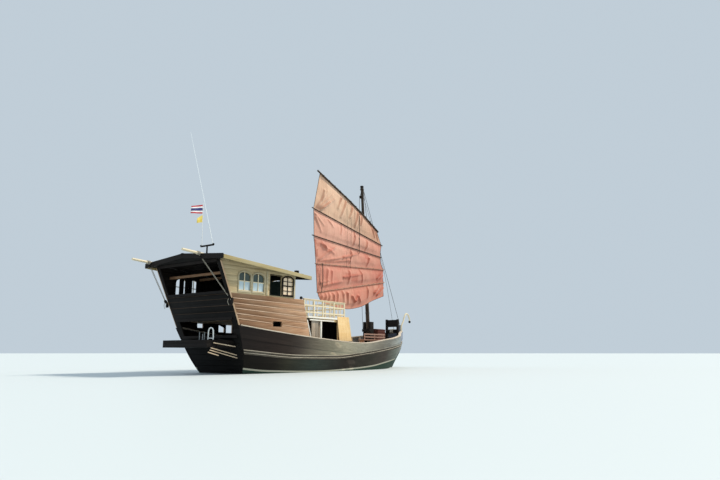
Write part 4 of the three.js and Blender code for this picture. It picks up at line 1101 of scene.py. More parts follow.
# %% Side windows
frames, bars, upper, lower, lit, shade_boards, dark_bars = [Pile() for _ in range(7)]
WINDOWS = [(-1.01, 3.17, -0.43, 3.90, 0.15), (-0.32, 3.17, 0.27, 3.90, 0.15)]
SIDE_LIGHT = (1.30, 3.15, 1.86, 3.93, 0.14)
for side in (-1, 1):
    def place(x, z, out, s=side):
        return on_wall(s, x, z, out)

    for x0, z0, x1, z1, rise in [*WINDOWS, SIDE_LIGHT]:
        path, leaf_light = arch_path(x0, z0, x1, z1, rise), x0 > 1
        frame_round(shade_boards if leaf_light else frames, place, path, 0.055, 0.028, 0.001)
        middle, mid_z = (x0 + x1) / 2, z0 + (z1 - z0) * 0.52
        for a, b in (((middle, z0), (middle, z1 - 0.01)), ((x0, mid_z), (x1, mid_z)),
                     ((x0, z0 + 0.02), (x1, z0 + 0.02))):
            (dark_bars if leaf_light else bars).board(place(*a, -0.02), place(*b, -0.02), 0.034, 0.032,
                                                      (0, side, 0))
        if side > 0:
            continue
        pane(lit if leaf_light else upper, place, x0 + 0.01, mid_z, x1 - 0.01, z1 - 0.04, -0.034)
        pane(lit if leaf_light else lower, place, x0 + 0.01, z0 + 0.01, x1 - 0.01, mid_z, -0.034)
    x0, z0, x1, z1, rise = SIDE_LIGHT
    for k in (1, 2, 3):
        z = z0 + (z1 - z0) * k / 4
        dark_bars.board(place(x0, z, -0.02), place(x1, z, -0.02), 0.026, 0.028, (0, side, 0))
    frame_round(shade_boards, place, [(0.60, 3.12), (0.60, 3.93), (1.21, 3.93), (1.21, 3.12)], 0.03, 0.020, 0.001)
    for x in (0.42, 1.95):
        frames.board(place(x, 3.08, 0.012), place(x, 4.05, 0.012), 0.09, 0.022, (0, side, 0), tone=0.4)
WINDOW_WOOD = timber("pale_window_frames", "#857a60", "#a59a7c", "#bfb495", "#cdc5ae", 0.35, 0.15, 0.5)
frames.piece("window_frames", WINDOW_WOOD, "house_planking")
# Near-black boards behind the port windows: painted shade of the room inside.
SHADE_BOARD_SPANS = [(-0.86, -0.62), (-0.55, -0.40), (-0.34, -0.15), (0.08, 0.30), (0.55, 1.90)]
for x0, x1 in SHADE_BOARD_SPANS:
    shade_boards.loft([[on_wall(1, x, z, out) for x, z in ((x0, 3.12), (x1, 3.12), (x1, 3.95), (x0, 3.95))]
                   for out in (-0.065, -0.085)])
shade_boards.piece("shade_boards_and_dark_frames", DARK_WOOD_AND_SHADE, "dark_timber")
dark_bars.piece("dark_window_bars", DARK_WOOD_AND_SHADE, "dark_timber")
bars.piece("window_bars", CREAM, "cream_paint")
upper.piece("window_panes_upper", SHADE_GLASS, "white_paint")
lower.piece("window_panes_lower", SKY_REFLECTION, "white_paint")
# The side lights' panes are pale cream: painted light showing through them.
lit.piece("window_panes_lit", plain("lit_cream_glass", "#f0d8b8", 0.35), "white_paint")

# %% [markdown]
# ## The house front and its door
# The front wall looks over the mid house's deck through two arched windows, made as the side ones are
# by a function that places points on this wall. The varnished door is its solid with stiles, rails
# and glass laid on. They ride on the door's body, so they swing with it.

# %% House front
FRONT_X, SILL_Z, ARCH_Z = 1.95, 3.15, 3.90
front, front_glass = Pile(), Pile()


def on_front(y, z, out):
    return at(FRONT_X + out, y, z)


for y0, y1 in ((-1.5, -0.7), (0.7, 1.5)):
    frame_round(front, on_front, arch_path(y0, SILL_Z, y1, ARCH_Z, 0.15), 0.075, 0.026, 0.001)
    for a, b in ((((y0 + y1) / 2, SILL_Z), ((y0 + y1) / 2, ARCH_Z - 0.01)), ((y0, 3.54), (y1, 3.54))):
        front.board(on_front(*a, -0.02), on_front(*b, -0.02), 0.034, 0.032, (1, 0, 0))
    pane(front_glass, on_front, y0 + 0.01, 3.16, y1 - 0.01, 3.86, -0.034)
for y in (-0.40, 0.47):
    front.board(on_front(y, 2.16, 0.014), on_front(y, 4.06, 0.014), 0.07, 0.024, (1, 0, 0))
front.board(on_front(-0.44, 4.05, 0.014), on_front(0.5, 4.05, 0.014), 0.08, 0.024, (1, 0, 0))
front.piece("front_window_frames", CREAM, "cream_paint")
front_glass.piece("front_window_panes", SHADE_GLASS, "white_paint")

# %% House door
DOOR_PANEL = timber("varnished_door_panels", "#6f4a2a", "#93683f", "#b08354", "#a89274", 0.15, 0.2, 0.5)
dress("house_door", "house_door_leaf", DOOR_PANEL, along=2, ease=0.004)
leaf, glass = Pile(), Pile()
for x in (1.942, 1.898):
    for a, b, w in (((-0.30, 2.22), (-0.30, 3.96), 0.09), ((0.30, 2.22), (0.30, 3.96), 0.09),
                    ((-0.34, 2.24), (0.34, 2.24), 0.14), ((-0.34, 3.05), (0.34, 3.05), 0.10),
                    ((-0.34, 3.94), (0.34, 3.94), 0.08), ((0.0, 3.05), (0.0, 3.94), 0.03),
                    ((-0.3, 3.48), (0.3, 3.48), 0.03)):
        leaf.board(at(x, *a), at(x, *b), w, 0.016, (1, 0, 0))
glass.box((1.890, -0.27, 3.10), (1.9005, 0.27, 3.90))
glass.box((1.9395, -0.27, 3.10), (1.950, 0.27, 3.90))
leaf.rod(at(1.96, -0.27, 2.92), at(1.96, -0.27, 3.06), 0.009)
leaf.piece("door_frame_and_handle", DOOR_PANEL, "panel_board", "door")
glass.piece("door_glass", SHADE_GLASS, "white_paint", "door")

# %% [markdown]
# ## The roof
# Boards laid fore and aft over rafters, with thin battens across them against leaks. The eaves carry
# a light fascia, the aft and fore edges a dark barge board a little above the boards. Both slopes
# drop forward, so one function gives the height at any place.

# %% Roof boards, rafters and edges
ROOF = {"aft": -2.20, "fore": 2.81, "half": 2.32, "eave_aft": 4.35, "eave_fore": 4.06, "rise": 0.205,
        "thick": 0.06}


def roof_top(x, y):
    share = (x - ROOF["aft"]) / (ROOF["fore"] - ROOF["aft"])
    eave = ROOF["eave_aft"] + (ROOF["eave_fore"] - ROOF["eave_aft"]) * share
    return eave + ROOF["rise"] * (1 - abs(y) / ROOF["half"])


roof, under, battens = Pile(), Pile(), Pile()
COURSES = 12
for side in (-1, 1):
    for k in range(COURSES):
        y0, y1 = [side * (ROOF["half"] * j / COURSES + e) for j, e in ((k, 0.003), (k + 1, -0.003))]
        corners = ((y0, 0.0), (y1, 0.0), (y1, -0.03), (y0, -0.03))
        roof.loft([[at(x, y, roof_top(x, y) + drop) for y, drop in corners]
                   for x in (ROOF["aft"], 0.3, ROOF["fore"])])
    under.loft([[at(x, side * 0.005, roof_top(x, 0) - 0.034), at(x, side * 2.30, roof_top(x, 2.30) - 0.034),
                 at(x, side * 2.30, roof_top(x, 2.30) - 0.044), at(x, side * 0.005, roof_top(x, 0) - 0.044)]
                for x in (ROOF["aft"] + 0.01, ROOF["fore"] - 0.01)])
    for k in range(9):
        x = ROOF["aft"] + 0.10 + k * 0.6
        battens.board(at(x, side * 0.07, roof_top(x, 0.07) + 0.012),
                      at(x, side * 2.31, roof_top(x, 2.31) + 0.012), 0.05, 0.024)
        under.board(at(x, side * 0.02, roof_top(x, 0.02) - 0.052),
                    at(x, side * 2.28, roof_top(x, 2.28) - 0.052), 0.06, 0.045)
roof.piece("roof_boards", WEATHERBOARD, "roof_boards", replaces="roof")
battens.piece("roof_battens", WEATHERBOARD, "roof_boards")
under.piece("roof_rafters", STAINED, "dark_timber")
for side, _ in SIDES:
    dress("fascia_" + side, "fascia_board_" + side, FASCIA, ease=0.005)
dress("ridge_beam", "ridge_board", STAINED, ease=0.01)
barge = Pile()
for side in (-1, 1):
    for x, lift in ((ROOF["aft"] - 0.02, 0.06), (ROOF["fore"] + 0.015, 0.02)):
        corners = ((-0.02, lift), (0.02, lift), (0.02, -0.13), (-0.02, -0.13))
        barge.loft([[at(x + run, side * y, roof_top(x, y) + rise) for run, rise in corners]
                    for y in (0.0, 1.2, 2.33)], tone=0.4)
barge.piece("barge_boards", STAINED, "dark_timber")

# %% [markdown]
# ## Davits and tackles
# Two pale poles lie on the roof and stick out astern, to lift a dinghy. Each is held down by a tackle:
# a block at the pole, a block at the transom's corner, and the rope's parts between them. Twisting
# a rope's strands would take thousands of faces, so a slanting band of painted light on each strand and
# painted shade between them does it, drawn 55 mm wide where real strands are 8 mm.
# 55 mm wide where real strands are 8 mm.


# %% Rope and small metal
STRANDS_A_METRE, STRAND_SLANT, STRAND_RELIEF = 18.0, 0.7, 0.004


def laid_rope(name, dark, light):
    made, tree, shader = finish(name, 0.9)
    lie = node(tree, "ShaderNodeUVMap", uv_map="Grain").outputs["UV"]
    slant = node(tree, "ShaderNodeMapping", {"Vector": lie, "Rotation": (0, 0, STRAND_SLANT)})
    strands = node(tree, "ShaderNodeTexWave", {"Vector": slant.outputs[0], "Scale": STRANDS_A_METRE,
                                               "Distortion": 1.5, "Detail": 2.0}, bands_direction="X")
    # Painted light on each strand, painted shade in the lay between them.
    ramp = node(tree, "ShaderNodeValToRGB", {"Fac": strands.outputs["Fac"]}, [(0.0, dark), (1.0, light)])
    tree.links.new(ramp.outputs["Color"], shader.inputs["Base Color"])
    relief = node(tree, "ShaderNodeBump",
                  {"Height": strands.outputs["Fac"], "Strength": 0.5, "Distance": STRAND_RELIEF})
    tree.links.new(relief.outputs[0], shader.inputs["Normal"])
    return made


HEMP = laid_rope("weathered_hemp", "#6e685c", "#b9b2a2")
DARK_ROPE = laid_rope("tarred_hemp", "#23201c", "#4a453d")
# Hot-dipped zinc is a dull grey metal, and enamel on tube is white with soft highlights.
STEEL = plain("galvanised_steel", "#8d9192", 0.42, 0.85)
WHITE_GLOSS = plain("white_enamel", "#e9ebe8", 0.3)


def tackle_block(pile, where, down, size=0.075):
    """A wooden pulley block: two cheeks with a sheave between."""
    down = (Vector(down) - Vector(where)).normalized()
    side = down.cross(at(0, 0, 1)).normalized()
    for shift in (-0.022, 0.022):
        rings = []
        for k in range(7):
            t = -1 + 2 * k / 6
            w = size * 0.62 * math.sqrt(max(1 - (t * 0.94) ** 2, 0.02))
            p = Vector(where) + down * (t * size) + side * shift
            across = down.cross(side)
            rings.append([p - across * w - side * 0.011, p + across * w - side * 0.011,
                          p + across * w + side * 0.011, p - across * w + side * 0.011])
        pile.loft(rings, tone=0.5)
    pile.rod(Vector(where) - side * 0.035, Vector(where) + side * 0.035, size * 0.3)


# %% Davit poles and their tackles
# Each row is a pole's name, its y on the roof, and the y and z of its tackle's foot.
DAVITS = [("port", 2.03, 1.96, 2.78), ("starboard", -1.04, -1.90, 2.76)]
POLE_R, POLE_FORE_X, TURN_R = 0.056, -0.9, 0.064
POLE_LIFT = POLE_R * 1.0056


def pole(x, y):
    """The middle of the davit pole that lies on the roof at y."""
    level = roof_top(POLE_FORE_X, y) + POLE_LIFT
    slope = (roof_top(ROOF["aft"], y) + POLE_LIFT - level) / (ROOF["aft"] - POLE_FORE_X)
    return at(x, y, level + slope * (x - POLE_FORE_X))


for name, y, edge, edge_z in DAVITS:
    dress("davit_" + name, "davit_pole_" + name, CREAM, ease=0.004)
    grip, foot = pole(-2.30, y), at(aft_x(edge_z) - 0.03, edge, edge_z)
    rope, wood = Pile(), Pile()
    for x in [*(-2.36 + 0.028 * turn for turn in range(5)), *(-1.9 + 0.03 * turn for turn in range(4))]:
        ring = [pole(x, y) + at(0, TURN_R * math.cos(a), TURN_R * math.sin(a)) for a in turns_of(12)]
        rope.sweep(ring, round_section(0.013, 6), (1, 0, 0), closed=True)
    top, low = grip + (foot - grip) * 0.09, foot + (grip - foot) * 0.07
    for shift in (-0.022, 0.022):
        rope.rope([top + at(shift, 0, 0), (top + low) / 2 + at(shift, 0, -0.004),
                   low + at(shift * 0.8, 0, 0)], 0.011)
    rope.rope([grip + at(0, 0, -0.04), top], 0.012)
    rope.rope([foot + at(0.02, 0, -0.03), low], 0.012)
    rope.rope([low, low + at(-0.05, 0.02, -0.16), low + at(-0.02, -0.02, -0.30)], 0.010)
    tackle_block(wood, top, low)
    tackle_block(wood, low, top)
    rope.piece("tackle_ropes_" + name, HEMP, "rope", replaces="brace_" + name)
    wood.piece("tackle_blocks_" + name, STAINED, "dark_timber")
cleats = Pile()
for name, y, edge, edge_z in DAVITS:
    foot = at(aft_x(edge_z), edge, edge_z)
    cleats.box(foot + at(-0.05, -0.05, -0.12), foot + at(0.03, 0.05, 0.10))
cleats.piece("tackle_pads", STAINED, "dark_timber")

# %% [markdown]
# ## Boarding platform
# A stout box of dark boards across the stern, with a white hoop of tube to hold on to and a slatted
# ladder stowed along its starboard edge. Its bars hang askew, so each is a row of a table.

# %% Platform, hoop and ladder
dress("stern_platform", "platform_boards", STAINED, along=1, ease=0.012,
      seams=[*seams_at(0, [-1.9 + 0.19 * k for k in range(1, 8)]), *seams_at(2, (1.16,))])
dress("hoop_rail", "hoop_tube", WHITE_GLOSS, ease=0)
LADDER_Y = -1.345
# Both ends of each bar as x0, z0, x1, z1, and how pale its wood is.
LADDER_BARS = [(-1.43, 1.33, -0.63, 1.23, 0.2), (-1.62, 1.19, -0.52, 1.055, 1.0),
               (-1.74, 1.0, -0.44, 0.73, 0.7), (-1.78, 0.92, -0.40, 0.62, 0.7),
               (-1.86, 0.84, -1.35, 0.72, 0.6)]
LADDER_WOOD = timber("bare_ladder_bars", "#8f7a60", "#b8a184", "#d8c5ab", "#d9d0c0", 0.3, 0.5)
rungs, hangers = Pile(), Pile()
for x0, z0, x1, z1, pale in LADDER_BARS:
    (rungs if pale > 0.5 else hangers).board(at(x0, LADDER_Y, z0), at(x1, LADDER_Y, z1), 0.034, 0.03,
                                             (0, 1, 0), tone=pale)
for x, low in ((-1.42, 0.76), (-0.76, 0.71)):
    hangers.board(at(x, LADDER_Y + 0.022, low), at(x, LADDER_Y + 0.022, 1.27), 0.035, 0.02, (0, 1, 0))
rungs.piece("boarding_ladder_bars", LADDER_WOOD, SLOT_OF["boarding_ladder"],
            replaces="boarding_ladder")
hangers.piece("boarding_ladder_hangers", STAINED, "dark_timber")
posts = Pile()
for x, y, top in ((-1.45, -0.33, 1.62), (-1.45, -0.62, 1.60), (-1.62, -0.72, 1.52)):
    posts.rod(at(x, y, 1.30), at(x, y, top), 0.016)
    posts.rod(at(x, y, 1.30), at(x, y, 1.32), 0.034)
posts.piece("platform_stanchions", STEEL, "white_paint")

# %% [markdown]
# ## The mid house
# A low cabin whose top is a railed deck. Its sides are tan boards with a wide doorway, its top deck
# rests on two white beams, and its railing is cream with slats between the rails. The solid has the
# railing's posts and rails. Its thin slats and caps come from a loop that leaves gaps, as there.

# %% Mid house
GREY_PANEL = timber("grey_varnished_panel", "#85786a", "#a39583", "#bcae9b", "#b9b1a4", 0.3, 0.15)
for side, sign in SIDES:
    boards = dress("mid_side_" + side, "mid_boards_" + side, PANEL, along=2,
                   seams=seams_at(0, (3.85, 4.12, 4.38, 5.66, 5.86, 6.06, 6.26)))
    refinish(boards, GREY_PANEL, lambda face: face.center.x < 4.04 - AMIDSHIPS)
    # Inner faces are painted shade.
    refinish(boards, DARK_WOOD_AND_SHADE, lambda face, out=sign: face.normal.y * out < -0.5)
boards = dress("mid_front", "mid_boards_front", PANEL, along=2,
               seams=seams_at(1, [0.24 * k for k in range(-6, 7)]))
# Inner faces are painted shade.
refinish(boards, DARK_WOOD_AND_SHADE, lambda face: face.normal.x < -0.5)
dress("mid_aft", "mid_boards_aft", STAINED, along=2,
      seams=seams_at(1, [0.24 * k for k in range(-6, 7)]))
dress("mid_deck", "mid_deck_planks", CREAM, ease=0.008,
      seams=seams_at(1, [0.14 * k + 0.07 for k in range(-13, 13)]))
dress("mid_railing", "mid_railing_bars", CREAM, ease=0.008)
dress("companion_ladder", "companion_steps", BLEACHED, ease=0.006)

# %% Beams, posts and fore panels
WHITE_PAINT = timber("white_painted_timber", "#d9d6cb", "#ebe8de", "#f6f4ec", "#cfcabd", 0.2, 0.08, 0.45,
                     0.1, 0.8)
mid = Pile()
for side in (-1, 1):
    level, out = (0, 0, 1), (0, side, 0)
    for x0, z0, x1, z1, y, wide, thick, up, tone in (
            (3.25, 2.375, 5.36, 2.375, 1.825, 0.03, 0.075, level, 0.9),
            (3.40, 2.262, 5.15, 2.262, 1.79, 0.045, 0.06, level, 0.9),
            (4.20, 1.02, 4.20, 2.22, 1.79, 0.10, 0.045, out, 0.8),
            (3.62, 1.10, 3.22, 2.24, 1.80, 0.06, 0.03, out, 0.8)):
        mid.board(at(x0, side * y, z0), at(x1, side * y, z1), wide, thick, up, tone)
mid.piece("mid_beams_and_posts", WHITE_PAINT, "cream_paint")
wing = Pile()
for side in (-1, 1):
    for k in range(5):
        low, top = 5.54 + 0.20 * k, 5.37 + 0.182 * k
        wing.loft([[at(top + (low - top) * s, side * y, 2.50 - 1.13 * s) for y in (1.812, 1.834)]
                   + [at(top + 0.178 + (low + 0.196 - top - 0.178) * s, side * y, 2.50 - 1.13 * s)
                      for y in (1.834, 1.812)] for s in (0.0, 0.5, 1.0)])
wing.piece("mid_fore_panels", PANEL, "panel_board")

# %% Railing slats, caps and inner panels
RAIL_Y, RAIL_FORE_X, RAIL_CAP_Z, SLAT_LOW, SLAT_TOP = 1.77, 5.98, 3.165, 2.42, 3.10
SLAT_WIDE, SLAT_THICK, CAP_WIDE, CAP_THICK = 0.034, 0.016, 0.09, 0.03
WARM_CREAM = timber("warm_cream_paint", "#d8bf98", "#ecd6b2", "#f6e6ca", "#cdbfa4", 0.3, 0.12, 0.5, 0.15,
                    0.6)
infill = Pile()
for side in (-1, 1):
    y = side * RAIL_Y
    for x in [3.05 + 0.115 * k for k in range(26) if k % 5 in (1, 3)]:
        infill.board(at(x, y, SLAT_LOW), at(x, y, SLAT_TOP), SLAT_WIDE, SLAT_THICK, (0, side, 0))
    infill.board(at(2.96, y, RAIL_CAP_Z), at(6.04, y, RAIL_CAP_Z), CAP_WIDE, CAP_THICK)
infill.board(at(RAIL_FORE_X, -1.8, RAIL_CAP_Z), at(RAIL_FORE_X, 1.8, RAIL_CAP_Z), CAP_WIDE, CAP_THICK)
for y in [-1.68 + 0.116 * k for k in range(30) if k % 5 in (1, 2, 4)]:
    infill.board(at(RAIL_FORE_X, y, SLAT_LOW), at(RAIL_FORE_X, y, SLAT_TOP), SLAT_WIDE, SLAT_THICK,
                 (1, 0, 0))
infill.piece("railing_slats_and_cap", WARM_CREAM, "cream_paint")
inside = Pile()
inside.box((3.74, -1.690, 0.98), (4.34, -1.672, 2.28))
inside.box((3.74, 1.672, 0.98), (4.34, 1.690, 2.28))
inside.piece("mid_inner_panels", GREY_PANEL, "panel_board")

# %% [markdown]
# ## Mast and standing rigging
# One dark oiled pole, raked aft, stepped between two bitts. Hard hoops of rope mark where the sail is
# slung, and a second line runs down beside the forestay. A torus could be a hoop, but a round section
# swept round a closed ring also serves for lashings on the yard and turns on the drum.

# %% Mast
MAST_X, MAST_RAKE = 10.78, 0.0735
MAST_FOOT_Z, MAST_TOP_Z, MAST_FOOT_R, MAST_TOP_R = 1.235, 10.22, 0.115, 0.075
dress("mast", "mast_pole", SPAR, along=2, ease=0)
dress("mast_cap", "mast_cap_turned", STAINED, along=2, ease=0.008)
dress("mast_bitts", "mast_bitts_worn", STAINED, along=2, ease=0.014)
dress("forestay", "forestay_served", DARK_ROPE, ease=0)


def mast_at(z):
    return at(MAST_X - MAST_RAKE * z, 0, z)


def mast_r(z):
    return MAST_FOOT_R + (MAST_TOP_R - MAST_FOOT_R) * (z - MAST_FOOT_Z) / (MAST_TOP_Z - MAST_FOOT_Z)


def ring_round(pile, centre, axis, radius, thick, sides=18):
    axis = Vector(axis).normalized()
    side = axis.cross(at(0, 1, 0)).normalized()
    other = axis.cross(side)
    ring = [Vector(centre) + (side * math.cos(a) + other * math.sin(a)) * radius for a in turns_of(sides)]
    pile.sweep(ring, round_section(thick, 6), axis, closed=True)


AXIS = (-MAST_RAKE, 0, 1)
hoops = Pile()
for z in (9.88, 9.80, 9.72, 3.05, 2.98, 2.0, 1.93):
    ring_round(hoops, mast_at(z), AXIS, mast_r(z) + 0.008, 0.012)
hoops.piece("mast_woldings", DARK_ROPE, "rope")
head = Pile()
tackle_block(head, mast_at(9.62) + at(-0.16, 0.03, 0), mast_at(8.5), 0.085)
head.rod(mast_at(9.95) + at(-0.07, 0, 0), mast_at(9.66) + at(-0.16, 0.03, 0.05), 0.012)
head.piece("masthead_block", STAINED, "dark_timber")
stays = Pile()
stays.rope([mast_at(9.85) + at(0.09, 0.03, 0), at(12.3, 0.06, 5.9), at(13.66, 0.16, 2.10)], 0.008)
stays.rope([mast_at(9.60) + at(-0.17, 0.09, -0.06), mast_at(6.0) + at(-0.05, 0.28, 0),
            at(10.55, 0.30, 2.05)], 0.010)
stays.piece("second_stay_and_halyard", DARK_ROPE, "rope")

# %% [markdown]
# ## The sail
# One balanced lug of dyed cotton, seven metres high, stretched between a yard, four battens and its own
# edges. Each panel bellies between its battens, hangs in small creases from the spar above, and folds
# along lines of pull. A cloth simulation would fold it elsewhere, so the folds are a table of segments.
# The sail is a grid of points whose depth adds these up, and two layers of it, 4 mm apart, make one
# closed cloth.

# %% Sail outline
AFT_EDGE = [(6.15, 3.32), (5.83, 3.81), (5.70, 5.21), (5.53, 6.60), (5.46, 8.00), (5.93, 9.96)]
FORE_EDGE = [(11.93, 4.06), (11.93, 4.86), (11.93, 5.61), (11.64, 6.31), (11.75, 7.03), (11.29, 7.80)]
FOOT = [(6.15, 3.32), (7.15, 3.16), (8.26, 3.10), (9.50, 3.27), (10.80, 3.72), (11.93, 4.06)]
HEAD = [(5.93, 9.96), (7.12, 9.55), (8.59, 9.02), (9.98, 8.435), (11.29, 7.80)]
SAIL_MID_Y, CLOTH, PANELS = -0.196, 0.004, 5
SAIL_COLUMNS, SAIL_ROWS = 132, 190
# How far the fore edge is hollowed between two battens, for each panel from the foot up.
SCALLOP = [0.02, 0.05, 0.10, 0.05, 0.03]


def on_line(path, t):
    """The point a share t along corners, equally spaced in t, on a smooth curve."""
    shares = list(np.linspace(0, 1, len(path)))
    return tuple(fair(shares, [p[i] for p in path], t) for i in (0, 1))


def sail_line(k, s):
    """Row k of the sail, 0 the foot and 5 the head, at a share s from the aft edge forward."""
    if k in (0, PANELS):
        return on_line(FOOT if k == 0 else HEAD, s)
    (x0, z0), (x1, z1) = AFT_EDGE[k], FORE_EDGE[k]
    return x0 + (x1 - x0) * s, z0 + (z1 - z0) * s


def sail_point(s, v):
    """x and z of the cloth at a share s forward and v panels up."""
    k = min(int(v), PANELS - 1)
    (x0, z0), (x1, z1) = sail_line(k, s), sail_line(k + 1, s)
    f = v - k
    hollow = math.sin(math.pi * f) * SCALLOP[k]
    return x0 + (x1 - x0) * f - hollow * s ** 14, z0 + (z1 - z0) * f


print("sail from", FOOT[2][1], "to", HEAD[0][1], "m up, panels", PANELS)


# %% Folds
# Folds of each panel from the foot up, as x0, z0, x1, z1. Each is highest at its first end.
FOLDS = [
    [(6.21, 3.77, 6.15, 3.23), (6.51, 3.76, 6.47, 3.29), (6.79, 3.86, 6.75, 3.37),
     (7.1, 3.81, 7.2, 3.34), (7.5, 3.92, 7.47, 3.42), (7.93, 3.99, 8, 3.51), (8.71, 3.79, 8.97, 3.54),
     (8.97, 3.54, 9.24, 3.83), (9.24, 3.83, 9.51, 3.58), (10.28, 4.48, 10.23, 3.87),
     (11.22, 4.07, 11.91, 4.55), (10.93, 4.17, 11.53, 4.59), (8.32, 3.95, 8.38, 3.42)],
    [(6.64, 5.02, 6.57, 4.17), (7, 4.95, 6.97, 4.35), (7.93, 4.74, 9.58, 5.07),
     (9.51, 5.38, 9.81, 4.55), (6.01, 4.25, 6.71, 4.44), (11.35, 4.87, 12, 5.35),
     (11.23, 5.02, 11.93, 5.52), (8.5, 5.12, 8.44, 4.5), (6.25, 4.14, 7.8, 4.51)],
    [(5.93, 5.41, 6.68, 5.95), (6.68, 5.95, 7.43, 6.37), (5.99, 5.33, 7.92, 5.81),
     (7.92, 5.81, 9.37, 6.22), (6.51, 5.32, 8.43, 5.72), (6.09, 6.28, 7.07, 5.9),
     (6.2, 6.37, 6.56, 5.94), (8.69, 6.24, 8.57, 5.6), (10.36, 6.07, 10.21, 5.56)],
    [(5.57, 7.76, 6.24, 7.27), (5.62, 7.57, 6.07, 6.9), (9.07, 7.38, 8.89, 6.59),
     (7.9, 7.61, 7.71, 7.03), (10.22, 7.04, 10.07, 6.44), (6.65, 7.61, 7.02, 7.3)],
    [(5.68, 8.1, 6.51, 9.11), (5.76, 8.06, 6.9, 8.98), (5.88, 8.03, 7.12, 8.83),
     (6.05, 8.03, 6.7, 8.55), (6.27, 9.11, 6.04, 8.52), (8.21, 8.96, 7.7, 7.97),
     (8.84, 8.81, 8.48, 8.08), (9.3, 8.57, 9.03, 7.66), (9.68, 8.48, 9.58, 7.88),
     (10.63, 8.12, 11.03, 7.42), (10.96, 7.97, 11.38, 7.31), (7.76, 9.02, 7.44, 8.39)],
]
FOLD_DEEP = [0.105, 0.070, 0.085, 0.070, 0.090]
FOLD_WIDE, HEM, BELLY = 0.065, 0.035, 0.085


def fold(x, z, x0, z0, x1, z1):
    """A ridge along a segment, fading towards its second end."""
    dx, dz = x1 - x0, z1 - z0
    share = min(max(((x - x0) * dx + (z - z0) * dz) / (dx * dx + dz * dz), 0), 1)
    away = math.hypot(x - x0 - dx * share, z - z0 - dz * share)
    return math.exp(-(away / FOLD_WIDE) ** 2) * (1 - 0.55 * share)


def hanging_creases(x, drop, size, gap, reach):
    """Creases that hang from a spar: drop is how far under it the point lies."""
    phase = x / gap + 0.35 * math.sin(x * 2.3) + 0.2 * math.sin(drop * 2.7 + x)
    ridge = 1 - abs(math.sin(math.pi * phase))
    return size * (ridge ** 3) * math.exp(-drop / reach) * min(drop / 0.10, 1)


def crumple(x, z):
    """Slow uneven swells, three waves bent by each other."""
    a = math.sin(2.1 * x + 1.3 * math.sin(1.7 * z + 0.4))
    b = math.sin(3.7 * z - 1.1 * x + 1.6 * math.sin(1.3 * x))
    c = math.sin(7.3 * x + 4.9 * z + 2.0 * math.sin(2.2 * z))
    return 0.010 * a + 0.009 * b + 0.005 * c


def cloth_depth(s, v):
    """How far the cloth stands out to starboard of its flat plane."""
    x, z = sail_point(s, v)
    k = min(int(v), PANELS - 1)
    f = v - k
    below, above = sail_line(k, s)[1], sail_line(k + 1, s)[1]
    tall = above - below
    free = min(max((min(f, 1 - f) * tall - HEM) / 0.30, 0), 1)
    free = free * free * (3 - 2 * free)
    belly = BELLY * math.sin(math.pi * f) * math.sin(math.pi * min(max(s, 0), 1)) ** 0.6
    depth = belly + crumple(x, z)
    depth += hanging_creases(x, above - z, 0.014, 0.47, 0.45)
    depth += FOLD_DEEP[k] * sum(fold(x, z, *line) for line in FOLDS[k])
    return depth * free


print("folds", sum(len(panel) for panel in FOLDS))

# %% [markdown]
# ## Sailcloth
# Cotton canvas, woven plain and dyed, each panel faded on its own. The eye sees the panels' colours
# first, then rain runs, blots, seams and patches, and no shine. Canvas has some 2000 threads to a
# metre, which would vanish, so the weave is drawn at 90.

# %% Dyed cotton
THREADS_A_METRE, CLOTH_WIDTH, SEAM_WIDTH = 90.0, 0.62, 0.030
# Patches and marks as x0, x1, z0, z1 and how much darker they are. The last three darken the cloth at
# the aft edge of the third panel up.
PANEL_COLOURS = ["#d0846e", "#cb7b68", "#d5907c", "#dca18c", "#dcb89a"]
PATCHES_AND_MARKS = [(8.05, 9.22, 4.62, 5.02, 0.14), (9.95, 10.35, 6.0, 6.28, 0.16), (10.9, 11.3, 4.35, 4.62, -0.2),
           (5.50, 5.72, 5.95, 6.42, 0.40), (5.60, 5.85, 5.55, 5.95, 0.34), (5.74, 5.98, 6.12, 6.30, 0.25)]


